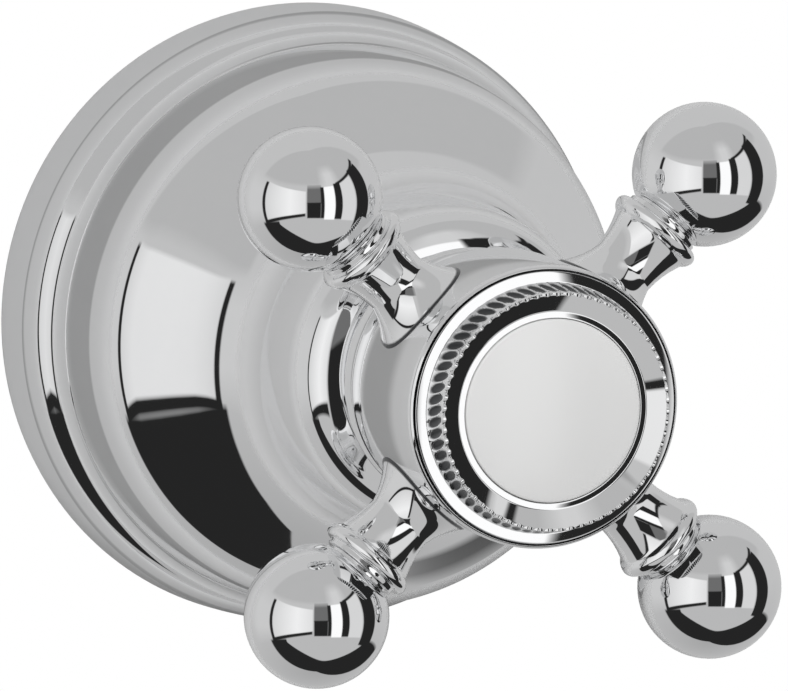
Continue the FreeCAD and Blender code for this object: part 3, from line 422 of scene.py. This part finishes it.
finish, tree, place = new_finish("glazed_porcelain")
pooling = grain(place, 14.0, detail=2.0)
speck = grain(place, 0.7).above(0.72, 0.05)
ripple = place.node("ShaderNodeBump", inputs={
    "Strength": 0.04, "Distance": 0.1 * MM, "Height": grain(place, 3.0, detail=1.0),
})
PORCELAIN = close_finish(
    finish, tree,
    Base_Color=tint(pooling - speck * 0.25, (0.855, 0.855, 0.850), (0.885, 0.885, 0.880)),
    Roughness=pooling * 0.10 + 0.20,
    Coat_Weight=0.15,
    Coat_Roughness=0.04,
    Normal=ripple,
)

# %% Turned and cast brass
finish, tree, place = new_finish("turned_brass")
across = add_node(tree, "ShaderNodeSeparateXYZ", inputs={0: place})
along = across.part(1)
radius = (across * across + across.part(2) * across.part(2)).math("SQRT")
tool_mark = ((along + radius) * (2.0 * math.pi / (0.35 * MM))).math("SINE") * 0.5 + 0.5
cloud = grain(place, 5.0)
lathe_rings = place.node("ShaderNodeBump", inputs={
    "Strength": 0.18, "Distance": 0.05 * MM, "Height": tool_mark,
})
TURNED_BRASS = close_finish(
    finish, tree,
    Base_Color=tint(cloud, (0.60, 0.415, 0.165), (0.76, 0.565, 0.265)),
    Metallic=1.0,
    Roughness=cloud * 0.12 + tool_mark * 0.05 + 0.20,
    Normal=lathe_rings,
)

finish, tree, place = new_finish("cast_brass")
sand = grain(place, 0.55, detail=4.0, roughness=0.65)
cloud = grain(place, 9.0)
skin = place.node("ShaderNodeBump", inputs={
    "Strength": 0.35, "Distance": 0.12 * MM, "Height": sand,
})
CAST_BRASS = close_finish(
    finish, tree,
    Base_Color=tint(cloud * 0.7 + sand * 0.3, (0.46, 0.315, 0.130), (0.66, 0.480, 0.220)),
    Metallic=1.0,
    Roughness=sand * 0.22 + 0.34,
    Normal=skin,
)

# %% Steel, acetal and rubber
finish, tree, place = new_finish("brushed_steel")
stretched = place.node("ShaderNodeMapping", inputs={"Vector": place, "Scale": (1.0, 0.08, 1.0)})
brush = grain(stretched, 0.25, detail=4.0)
STEEL = close_finish(
    finish, tree,
    Base_Color=tint(brush, (0.44, 0.44, 0.45), (0.62, 0.62, 0.63)),
    Metallic=1.0,
    Roughness=brush * 0.18 + 0.22,
)

finish, tree, place = new_finish("white_acetal")
cloud = grain(place, 4.0)
wax = place.node("ShaderNodeBump", inputs={
    "Strength": 0.08, "Distance": 0.05 * MM, "Height": grain(place, 0.4),
})
ACETAL = close_finish(
    finish, tree,
    Base_Color=tint(cloud, (0.74, 0.74, 0.71), (0.82, 0.82, 0.79)),
    Roughness=cloud * 0.15 + 0.36,
    Normal=wax,
)

finish, tree, place = new_finish("black_rubber")
bloom = grain(place, 2.5)
pores = place.node("ShaderNodeBump", inputs={
    "Strength": 0.25, "Distance": 0.06 * MM, "Height": grain(place, 0.22),
})
RUBBER = close_finish(
    finish, tree,
    Base_Color=tint(bloom, (0.022, 0.022, 0.023), (0.045, 0.045, 0.047)),
    Roughness=bloom * 0.2 + 0.55,
    Normal=pores,
)

# %% [markdown]
# ## Finishing the hidden works
# The brass, steel, plastic and rubber pieces inside the trim keep their CAD meshes, because those
# shapes are already right. Each gets the finish of its material slot in the record, so a piece
# that is turned from bar gets lathe rings and a seal gets rubber without naming them one by one.

# %% Give every CAD node the finish of its slot
SLOT_FINISH = {
    "chrome_trim": CHROME,
    "white_porcelain": PORCELAIN,
    "bare_brass": TURNED_BRASS,
    "cast_brass": CAST_BRASS,
    "fastener_steel": STEEL,
    "white_acetal": ACETAL,
    "black_rubber": RUBBER,
}
slot_of = {part["node"]: part["material_slot"] for part in frame["record"]["subparts"]}
for node_name, slot_name in slot_of.items():
    for material_slot in frame["nodes"][node_name].material_slots:
        material_slot.material = SLOT_FINISH[slot_name]
print("finished", len(slot_of), "CAD nodes in", len(set(slot_of.values())), "finishes")

# %% [markdown]
# ## A lathe with soft edges
# Flange, bell, hub, bezel and button are all turned on a lathe, so one half section spun round the
# valve axis makes each of them. A real edge is never knife sharp: polishing rounds it, and that
# small round is where chrome catches its bright line. Bevelling every edge by hand is slow, so the
# section is drawn finely, softened by a Gaussian blur along its length, and then thinned again:
# few points where it runs straight, many where it bends.

# %% Draw a section, soften it and thin it
FINE_MM = 0.02
STRAIGHT_DEG, CORNER_DEG = 0.03, 5.0
SHORTEST_MM, LONGEST_MM = 0.03, 2.5


def trace(outline):
    """Walk an outline of (radius, height, bulge) in fine steps; bulge bends the next edge."""
    walked = []
    for (r0, h0, bulge), (r1, h1, _) in zip(outline, outline[1:]):
        near, far = np.array((r0, h0)), np.array((r1, h1))
        chord = far - near
        steps = max(2, int(np.hypot(*chord) / FINE_MM))
        t = np.linspace(0.0, 1.0, steps, endpoint=False)[:, None]
        if not bulge:
            walked.append(near + chord * t)
            continue
        half = 2.0 * math.atan(bulge)
        side = np.array((chord[1], -chord[0]))
        centre = (near + far) / 2.0 - side * (0.5 / math.tan(half))
        swing = (2.0 * t[:, 0] - 1.0) * half
        arm = (near + far) / 2.0 + side * (bulge / 2.0) - centre
        turned = np.stack([
            arm[0] * np.cos(swing) - arm[1] * np.sin(swing),
            arm[0] * np.sin(swing) + arm[1] * np.cos(swing),
        ], 1)
        walked.append(centre + turned)
    return np.concatenate(walked)


def soften(loop, blur_mm):
    """Even out the steps of a closed loop and blur it along its length."""
    closed = np.vstack([loop, loop[:1]])
    run = np.concatenate([[0.0], np.cumsum(np.hypot(*np.diff(closed, axis=0).T))])
    count = int(run[-1] / FINE_MM)
    even = np.linspace(0.0, run[-1], count, endpoint=False)
    line = np.interp(even, run, closed[:, 0]) + 1j * np.interp(even, run, closed[:, 1])
    pitch = np.fft.fftfreq(count, run[-1] / count)
    line = np.fft.ifft(np.fft.fft(line) * np.exp(-0.5 * (2.0 * math.pi * pitch * blur_mm) ** 2))
    return np.stack([line.real, line.imag], 1)


def thin(line):
    """Keep a point wherever a closed line starts or stops bending, turns or runs far."""
    step = np.roll(line, -1, axis=0) - line
    heading = np.unwrap(np.arctan2(step[:, 1], step[:, 0]))
    bend = np.degrees(np.abs(np.diff(heading, prepend=heading[0])))
    bending = bend > STRAIGHT_DEG
    kept, turned = [0], 0.0
    for i in range(1, len(line)):
        turned += bend[i]
        gap = np.hypot(*(line[i] - line[kept[-1]]))
        turns = turned > CORNER_DEG or bending[i] != bending[i - 1]
        if gap > LONGEST_MM or (turns and gap > SHORTEST_MM):
            kept.append(i)
            turned = 0.0
    return line[kept]


print("a 1 mm edge is walked in", int(1.0 / FINE_MM), "steps")

# %% Spin a section round the valve axis
ROUND_STEPS = 192
ON_AXIS_MM = 1e-6


def soft_section(outline, blur_mm):
    """The thinned section of a piece; one that meets the axis is blurred with its mirror."""
    if outline[0][0] == 0.0:
        half = trace(outline)
        mirror = half[::-1] * (-1.0, 1.0)
        line = soften(np.vstack([half, mirror]), blur_mm)
        line = line[: len(line) // 2]
        line = thin(line[line[:, 0] > FINE_MM])
        tip, tail = line[-1][1], line[0][1]
        return np.vstack([[0.0, tail], line, [0.0, tip]])
    return thin(soften(trace(outline + outline[:1]), blur_mm))


def spin(name, section, steps=ROUND_STEPS):
    """Spin a section of (radius, height) in mm round the valve axis into a closed mesh."""
    turn = np.linspace(0.0, 2.0 * math.pi, steps, endpoint=False)
    points, rings = [], []
    for radius, height in section:
        if radius < ON_AXIS_MM:
            rings.append([len(points)] * steps)
            points.append((0.0, -height * MM, 0.0))
            continue
        rings.append(range(len(points), len(points) + steps))
        points += [(radius * c * MM, -height * MM, radius * s * MM)
                   for c, s in zip(np.cos(turn), np.sin(turn))]
    on_axis = section[0][0] < ON_AXIS_MM
    pairs = zip(rings, rings[1:]) if on_axis else zip(rings, rings[1:] + rings[:1])
    faces = []
    for low, high in pairs:
        for i in range(steps):
            j = (i + 1) % steps
            faces.append(tuple(dict.fromkeys((low[i], low[j], high[j], high[i]))))
    mesh = bpy.data.meshes.new(name)
    mesh.from_pydata(points, [], faces)
    return mesh


def close_up(mesh):
    """Point every face outwards and shade the mesh smooth."""
    shape = bmesh.new()
    shape.from_mesh(mesh)
    bmesh.ops.recalc_face_normals(shape, faces=shape.faces)
    shape.to_mesh(mesh)
    shape.free()
    mesh.shade_smooth()
    return mesh


def add_piece(name, mesh, finish, slot, body, *nodes):
    """Put a finished mesh in the scene in place of its CAD nodes."""
    piece = bpy.data.objects.new(name, mesh)
    bpy.context.collection.objects.link(piece)
    if not mesh.materials:
        mesh.materials.append(finish)
    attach(piece, body)
    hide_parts(*nodes)
    print(name, "has", len(mesh.polygons), "faces and stands for", ", ".join(nodes))
    return piece


print("a full turn takes", ROUND_STEPS, "steps")

# %% [markdown]
# ## The wall flange
# The flange is a pressed ring that hides the hole in the wall. Its foot is turned in slightly, its
# side leans in a little up to a faint crease, and an ogee, a round edge that runs into a cove,
# leads to the bell. A straight chamfer would mirror one flat tone; the bend of the ogee is what
# draws the fine dark and bright hoops in the photograph.

# %% Turn the wall flange
FLANGE_SECTION = [
    (34.4, 0.0, 0), (34.72, 1.5, 0.0131), (34.31, 7.4, 0.031), (33.44, 9.85, 0.0541),
    (32.73, 10.78, -0.0699), (32.0, 11.8, -0.0756), (31.4, 13.8, 0), (29.35, 13.8, 0),
    (29.35, 9.2, 0), (31.4, 9.2, 0), (31.4, 2.2, 0), (32.4, 2.2, 0), (32.4, 0.0, 0),
]
flange_mesh = close_up(spin("chrome_flange", soft_section(FLANGE_SECTION, blur_mm=0.10)))
add_piece("chrome_flange", flange_mesh, CHROME, "chrome_trim", "fixed", "wall_flange")

# %% [markdown]
# ## The bell
# The bell runs from a short drum over a round shoulder onto a straight cone, then in a hollow curve
# to a smooth neck and a rounded mouth that the handle's hub drops into. The hollow could be one
# arc, but its bend changes on the way, so it is drawn as three arcs that share their tangents, and
# a gentle blur hides the joins.

# %% Turn the bell
BELL_SECTION = [
    (29.3, 9.5, 0), (29.3, 13.85, 0), (31.38, 13.85, -0.0131), (31.1, 16.6, 0.0074),
    (30.78, 20.2, 0.0179), (30.45, 22.5, 0.0397), (29.9, 24.4, 0.0428), (29.3, 25.65, 0.0585),
    (28.2, 27.1, 0), (22.9, 32.55, -0.0498), (20.9, 35.1, -0.0629), (19.35, 38.4, -0.0607),
    (18.45, 43.0, 0.01), (17.85, 49.5, 0.115), (16.75, 53.1, 0.158), (15.15, 54.44, 0.0524),
    (13.3, 54.97, 0.03), (12.0, 55.15, 0), (9.2, 55.15, 0), (9.2, 53.1, 0), (14.0, 53.1, 0),
    (16.05, 49.6, 0), (16.05, 42.4, 0.13), (19.5, 32.2, -0.04), (27.8, 24.4, 0), (27.7, 20.8, 0),
    (27.7, 9.5, 0),
]
bell_mesh = close_up(spin("chrome_bell", soft_section(BELL_SECTION, blur_mm=0.12)))
add_piece("chrome_bell", bell_mesh, CHROME, "chrome_trim", "fixed", "bell_shroud")

# %% [markdown]
# ## The handle's hub
# The hub is a plain drum with a turned-in skirt at the back. It carries the four arms, and it is
# bored at both ends: for the splined insert behind, and for the screw and the bezel in front. The
# bezel sits inside the hub's front lip, and the narrow groove between them gets painted shade:
# the points that lie in the groove get the value "bite" on both pieces, which darkens them.

# %% Turn the hub
HUB_RADIUS = 15.2
GROOVE_RADII, GROOVE_HEIGHTS = (14.3, 14.81), (80.9, 81.42)


def set_bite(mesh, values):
    """Give every point of a mesh its value "bite", which the chrome turns into painted shade."""
    mesh.attributes.new("bite", "FLOAT", "POINT").data.foreach_set("value", values)


def mark_groove(mesh):
    """Set the value "bite" to 1 on the points in the groove round the bezel, for painted shade."""
    marks = []
    for point in mesh.vertices:
        radius, height = math.hypot(point.co.x, point.co.z) / MM, -point.co.y / MM
        inside = GROOVE_RADII[0] < radius < GROOVE_RADII[1]
        marks.append(float(inside and GROOVE_HEIGHTS[0] < height < GROOVE_HEIGHTS[1]))
    set_bite(mesh, marks)
    print(mesh.name, "has", int(sum(marks)), "points in the groove")
    return mesh


HUB_SECTION = [
    (8.6, 53.8, 0), (8.6, 57.2, 0), (13.7, 57.2, 0.3), (14.2, 57.9, 0), (14.0, 59.2, -0.1),
    (HUB_RADIUS, 65.8, 0), (HUB_RADIUS, 80.85, 0.2), (14.8, 81.45, 0), (14.8, 81.0, 0),
    (12.6, 81.0, 0), (12.6, 77.4, 0), (8.4, 77.4, 0), (8.4, 73.4, 0), (2.55, 73.4, 0),
    (2.55, 69.4, 0), (6.45, 69.4, 0), (6.45, 53.8, 0),
]
hub_mesh = mark_groove(close_up(spin("chrome_hub", soft_section(HUB_SECTION, blur_mm=0.07))))
add_piece("chrome_hub", hub_mesh, CHROME_WITH_PAINTED_SHADE, "chrome_trim", "handle", "handle_hub")

# %% [markdown]
# ## The bezel and the porcelain button
# The bezel has a nearly flat outer face, a steep wall that carries the rope ornament, and a dish
# that falls to a thin lip round the button. Its face tips back by only seven degrees and its lip by
# six: a mirror doubles every angle, and any more would turn the white that they show to grey. The
# button is a low dome of glazed porcelain, left bare.

# %% Turn the bezel and the button
BEZEL_SECTION = [
    (12.4, 77.8, 0), (12.4, 81.05, 0), (14.6, 81.05, 0), (14.6, 81.6, 0), (13.4, 81.75, 0),
    (13.4, 81.35, 0), (12.58, 81.35, 0), (12.58, 84.9, 0), (10.6, 83.83, 0), (9.9, 83.9, 0),
    (9.9, 82.3, 0), (8.35, 82.3, 0), (8.35, 77.8, 0),
]
bezel_mesh = mark_groove(close_up(spin("chrome_bezel", soft_section(BEZEL_SECTION, blur_mm=0.05))))
add_piece("chrome_bezel", bezel_mesh, CHROME_WITH_PAINTED_SHADE, "chrome_trim", "handle", "bezel_ring")

BUTTON_SECTION = [
    (0.0, 79.0, 0), (8.2, 79.0, 0), (8.2, 82.6, 0), (9.84, 82.6, 0), (9.84, 84.1, 0.0541),
    (0.0, 85.15, 0),
]
button_mesh = close_up(spin("white_button", soft_section(BUTTON_SECTION, blur_mm=0.18)))
add_piece("white_button", button_mesh, PORCELAIN, "white_porcelain", "handle", "porcelain_button")

# %% [markdown]
# ## Copies round the axis
# Arms, balls, the scoops of the rope ring and the threads of the ports all repeat round the valve
# axis. Geometry Nodes do that with one tree for all of them: it puts points on the axis, hangs a
# pattern on each, turns every copy one step further, makes the copies real and sews up those that
# touch. The pattern is drawn at its true place at angle zero, so the tree needs no distances, only
# a count and two angles.

# %% Build the tree that repeats a pattern round the axis
def new_tree(name, **sockets):
    """A Geometry Nodes tree, the fields of its named inputs and their identifiers."""
    tree = bpy.data.node_groups.new(name, "GeometryNodeTree")
    keys = {}
    for socket_name, kind in sockets.items():
        made = tree.interface.new_socket(
            name=socket_name, in_out="INPUT", socket_type="NodeSocket" + kind)
        keys[socket_name] = made.identifier
    tree.interface.new_socket(name="Mesh", in_out="OUTPUT", socket_type="NodeSocketGeometry")
    first = add_node(tree, "NodeGroupInput")
    return tree, keys, {word: first.part(i) for i, word in enumerate(sockets)}


def close_tree(geometry, finish):
    """End a tree in real copies with one finish."""
    real = geometry.node("GeometryNodeRealizeInstances", inputs={"Geometry": geometry})
    dressed = real.node("GeometryNodeSetMaterial", inputs={"Geometry": real, "Material": finish})
    real.node("NodeGroupOutput", inputs={0: dressed})


SEAM_GAP = 0.001 * MM
ring_tree, RING_KEYS, given = new_tree(
    "copies_round_axis", pattern="Object", copies="Int", first_angle="Float", step_angle="Float",
    finish="Material")
hung = given["pattern"].node(
    "GeometryNodeObjectInfo", inputs={"Object": given["pattern"]}, output="Geometry")
spots = hung.node("GeometryNodePoints", inputs={"Count": given["copies"]})
index = hung.node("GeometryNodeInputIndex")
angle = (index * given["step_angle"] + given["first_angle"]) * (-math.pi / 180.0)
turn = hung.node("ShaderNodeCombineXYZ", inputs={"Y": angle})
turn = hung.node("FunctionNodeEulerToRotation", inputs={"Euler": turn})
ring = hung.node("GeometryNodeInstanceOnPoints", inputs={
    "Points": spots, "Instance": hung, "Rotation": turn,
})
ring = hung.node("GeometryNodeRealizeInstances", inputs={"Geometry": ring})
sewn = hung.node("GeometryNodeMergeByDistance", inputs={"Geometry": ring, "Distance": SEAM_GAP})
close_tree(sewn, given["finish"])
print("ring tree takes", ", ".join(RING_KEYS))


# %% Run a tree and keep a plain mesh
def grow(name, tree, keys, **values):
    """Run a tree and return what it makes as a plain mesh."""
    carrier = bpy.data.objects.new(name, bpy.data.meshes.new(name))
    bpy.context.collection.objects.link(carrier)
    modifier = carrier.modifiers.new("grow", "NODES")
    modifier.node_group = tree
    for word, value in values.items():
        modifier[keys[word]] = value
    graph = bpy.context.evaluated_depsgraph_get()
    made = bpy.data.meshes.new_from_object(carrier.evaluated_get(graph))
    bpy.data.objects.remove(carrier)
    made.name = name
    return made


def repeat_round(name, pattern_mesh, finish, copies, first_angle, step_angle):
    """Copies of a pattern mesh round the valve axis as one plain mesh."""
    pattern = bpy.data.objects.new(name + "_pattern", pattern_mesh)
    bpy.context.collection.objects.link(pattern)
    made = grow(name, ring_tree, RING_KEYS, pattern=pattern, copies=copies,
                first_angle=first_angle, step_angle=step_angle, finish=finish)
    bpy.data.objects.remove(pattern)
    print(copies, "copies of", name, "stand", round(step_angle, 2), "degrees apart")
    return close_up(made)


print("ready to repeat patterns round the axis")

# %% [markdown]
# ## The arms and the balls
# Each arm flares from a round foot on the hub to a slim waist and opens again to a collar, and a
# short grooved drum carries the ball. Arm and ball are turned too, so the same section helper
# draws them, along their own axis. The foot of a real arm is cut to fit the round hub: its points
# slide back onto the hub's side, fully at the foot and less towards the waist. The thin seam where
# foot and hub meet gets painted shade: its points get the value "bite" too.

# %% Turn one arm, fit its foot to the hub and repeat it
ARM_HEIGHT, ARM_ANGLE, QUARTER_TURN = 71.0, 45.9, 90.0
ARM_COUNT, ARM_STEPS = 4, 96
FOOT_REACH, WAIST_REACH, ARM_END = 15.7, 18.2, 25.3
FOOT_SINK, SEAM_RISE = 0.12, 0.12
LAY_OUT = Matrix.Translation((0.0, -ARM_HEIGHT * MM, 0.0)) @ Matrix.Rotation(math.pi / 2, 4, "Z")
ARM_NODES = [f"arm_{side}" for side in ("right_upper", "left_upper", "left_lower", "right_lower")]
ARM_SECTION = [
    (0.0, FOOT_REACH, 0), (5.9, FOOT_REACH, -0.22), (3.65, WAIST_REACH, -0.1), (4.6, 22.5, 0.25),
    (5.3, 23.6, 0.25), (4.9, 24.2, 0), (4.3, 24.2, 0), (4.3, 24.85, 0), (3.7, 24.85, 0),
    (3.7, ARM_END, 0), (0.0, ARM_END, 0),
]

arm_pattern = spin("arm_pattern", soft_section(ARM_SECTION, blur_mm=0.09), ARM_STEPS)
arm_pattern.transform(LAY_OUT)
seam = []
for point in arm_pattern.vertices:
    reach, across = point.co.x / MM, point.co.z / MM
    hub_side = math.sqrt(HUB_RADIUS ** 2 - across ** 2)
    share = min(1.0, max(0.0, (WAIST_REACH - reach) / (WAIST_REACH - FOOT_REACH)))
    point.co.x -= (FOOT_REACH - hub_side + FOOT_SINK) * share * MM
    seam.append(float(point.co.x / MM < hub_side + SEAM_RISE))
# Painted shade along the seam where the foot meets the hub.
set_bite(arm_pattern, seam)
arm_mesh = repeat_round(
    "chrome_arms", arm_pattern, CHROME_WITH_PAINTED_SHADE, ARM_COUNT, ARM_ANGLE, QUARTER_TURN)
add_piece("chrome_arms", arm_mesh, CHROME_WITH_PAINTED_SHADE, "chrome_trim", "handle", *ARM_NODES)

# %% Turn one ball and repeat it
BALL_STEPS = 128
BALL_NODES = [name.replace("arm_", "ball_") for name in ARM_NODES]
BALL_SECTION = [(0.0, ARM_END, 0), (4.446, ARM_END, 0.7336), (0.0, 39.42, 0)]

ball_pattern = spin("ball_pattern", soft_section(BALL_SECTION, blur_mm=0.05), BALL_STEPS)
ball_pattern.transform(LAY_OUT)
ball_mesh = repeat_round("chrome_balls", ball_pattern, CHROME, ARM_COUNT, ARM_ANGLE, QUARTER_TURN)
add_piece("chrome_balls", ball_mesh, CHROME, "chrome_trim", "handle", *BALL_NODES)

# %% [markdown]
# ## The rope ring
# A small steep ring on the bezel is cut all round with slanting oval scoops, which leave bright
# edges and a scalloped crest like the strands of a rope. The scoops are dark with painted shade.
# Rolling beads round a ring would shine instead. So one scoop is drawn as a slice of the ring,
# bitten into from outside and with a rounded head; sixty-seven slices close the ring. Each point
# remembers how deep it was bitten, and the chrome reads that value to paint the shade.

# %% Bite a scoop out of one slice of the ring
WALL_POINTS = 13
SCOOP_DEPTH, SCOOP_MIDDLE = 0.24, 0.45
LOBE_DROP, LOBE_REACH, LOBE_POWER = 0.3, 0.24, 3
ROPE_FOOT, ROPE_CREST = np.array((13.46, 81.8)), np.array((12.78, 85.0))
ROPE_BACK, ROPE_FLOOR = 12.62, 81.4
CREST_RISE, CREST_ROUND, BACK_DROP = 0.04, 0.03, 0.1


def scoop_cut(across):
    """(radius, height, bite) round one cut through the slice; across runs from 0 to 1."""
    bow = math.sin(math.pi * across)
    drop, inner = LOBE_DROP * (1.0 - bow), ROPE_BACK - LOBE_REACH * bow
    cut = [(ROPE_BACK, ROPE_FLOOR, 0.0), (ROPE_FOOT[0], ROPE_FLOOR, 0.0)]
    for up in np.linspace(0.0, 1.0, WALL_POINTS):
        off_middle = (2.0 * across - 1.0) ** 2 + ((up - SCOOP_MIDDLE) / SCOOP_MIDDLE) ** 2
        bite = math.sqrt(max(0.0, 1.0 - off_middle))
        radius, height = ROPE_FOOT + (ROPE_CREST - ROPE_FOOT) * up
        cut.append((radius - SCOOP_DEPTH * bite, height - drop * up ** LOBE_POWER, bite))
    top = ROPE_CREST[1] - drop + CREST_RISE
    outer_land = [ROPE_CREST[0] - CREST_ROUND, ROPE_CREST[0] - 2.0 * CREST_ROUND]
    inner_land = [inner + 2.0 * CREST_ROUND, inner + CREST_ROUND]
    cut += [(radius, top, 0.0) for radius in outer_land + inner_land]
    return cut + [(inner, top - CREST_RISE, 0.0), (ROPE_BACK, top - BACK_DROP, 0.0)]


CUT_SIZE = len(scoop_cut(0.0))
print("one cut through a scoop has", CUT_SIZE, "points")

# %% Join the cuts into one slice and repeat it round the ring
SCOOPS, COLUMNS, SCOOP_SLANT = 67, 10, -0.9
scoop_step = 2.0 * math.pi / SCOOPS
points, depths = [], []
for column in range(COLUMNS + 1):
    for radius, height, bite in scoop_cut(column / COLUMNS):
        slant = SCOOP_SLANT * (height - ROPE_FLOOR) / (ROPE_CREST[1] - ROPE_FLOOR)
        angle = (column / COLUMNS + slant) * scoop_step
        points.append((radius * math.cos(angle) * MM, -height * MM, radius * math.sin(angle) * MM))
        depths.append(bite)
faces = []
for column in range(COLUMNS):
    here, there = column * CUT_SIZE, (column + 1) * CUT_SIZE
    for i in range(CUT_SIZE):
        j = (i + 1) % CUT_SIZE
        faces.append((here + i, here + j, there + j, there + i))
scoop_mesh = bpy.data.meshes.new("rope_scoop")
scoop_mesh.from_pydata(points, [], faces)
# The depth of each bite also sets how dark the painted shade in the scoop is.
set_bite(scoop_mesh, depths)
rope_mesh = repeat_round("rope_scoops", scoop_mesh, CHROME_WITH_PAINTED_SHADE, SCOOPS, 0.0, 360.0 / SCOOPS)
add_piece("rope_scoops", rope_mesh, CHROME_WITH_PAINTED_SHADE, "chrome_trim", "handle", "rope_ring")

# %% [markdown]
# ## Thread in the three ports
# The pipes screw into the valve body with a half-inch pipe thread of fourteen turns to the inch.
# A thread is a ridge that follows a helix, so Geometry Nodes sweeps a small diamond along a spiral:
# half of it sinks into the wall of the port, and the other half is the ridge. The ring tree then
# hangs the same turns in the right, upper and lower ports.

# %% Build the tree that sweeps a thread
TURN_STEPS, RIDGE_SIDES = 48, 4
thread_tree, THREAD_KEYS, given = new_tree(
    "thread_turns", turns="Float", pitch="Float", bore="Float", ridge="Float", finish="Material")
path = given["turns"].node("GeometryNodeCurveSpiral", inputs={
    "Resolution": TURN_STEPS, "Rotations": given["turns"], "Start Radius": given["bore"],
    "End Radius": given["bore"], "Height": given["turns"] * given["pitch"],
})
profile = path.node("GeometryNodeCurvePrimitiveCircle", inputs={
    "Resolution": RIDGE_SIDES, "Radius": given["ridge"],
})
swept = path.node("GeometryNodeCurveToMesh", inputs={
    "Curve": path, "Profile Curve": profile, "Fill Caps": True,
})
close_tree(swept, given["finish"])
print("thread tree takes", ", ".join(THREAD_KEYS))

# %% Hang the thread in the ports
THREAD_TURNS, THREAD_PITCH, THREAD_RIDGE, THREAD_LEAD = 5.0, 1.814, 0.45, 0.9
PORT_COUNT, PORT_ANGLE = 3, -90.0
PORT_DEPTH, PORT_REACH, PORT_BORE = 18.3, 23.0, 9.35
turns_mesh = grow("thread_pattern", thread_tree, THREAD_KEYS, turns=THREAD_TURNS,
                  pitch=THREAD_PITCH * MM, bore=PORT_BORE * MM, ridge=THREAD_RIDGE * MM,
                  finish=TURNED_BRASS)
inner_end = PORT_REACH - THREAD_TURNS * THREAD_PITCH - THREAD_LEAD
into_port = Matrix.Translation((inner_end * MM, PORT_DEPTH * MM, 0.0))
turns_mesh.transform(into_port @ Matrix.Rotation(math.pi / 2, 4, "Y"))
port_mesh = repeat_round(
    "port_threads", turns_mesh, TURNED_BRASS, PORT_COUNT, PORT_ANGLE, QUARTER_TURN)
port_threads = bpy.data.objects.new("port_threads", port_mesh)
bpy.context.collection.objects.link(port_threads)
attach(port_threads, "fixed")
print("port threads have", len(port_mesh.polygons), "faces")
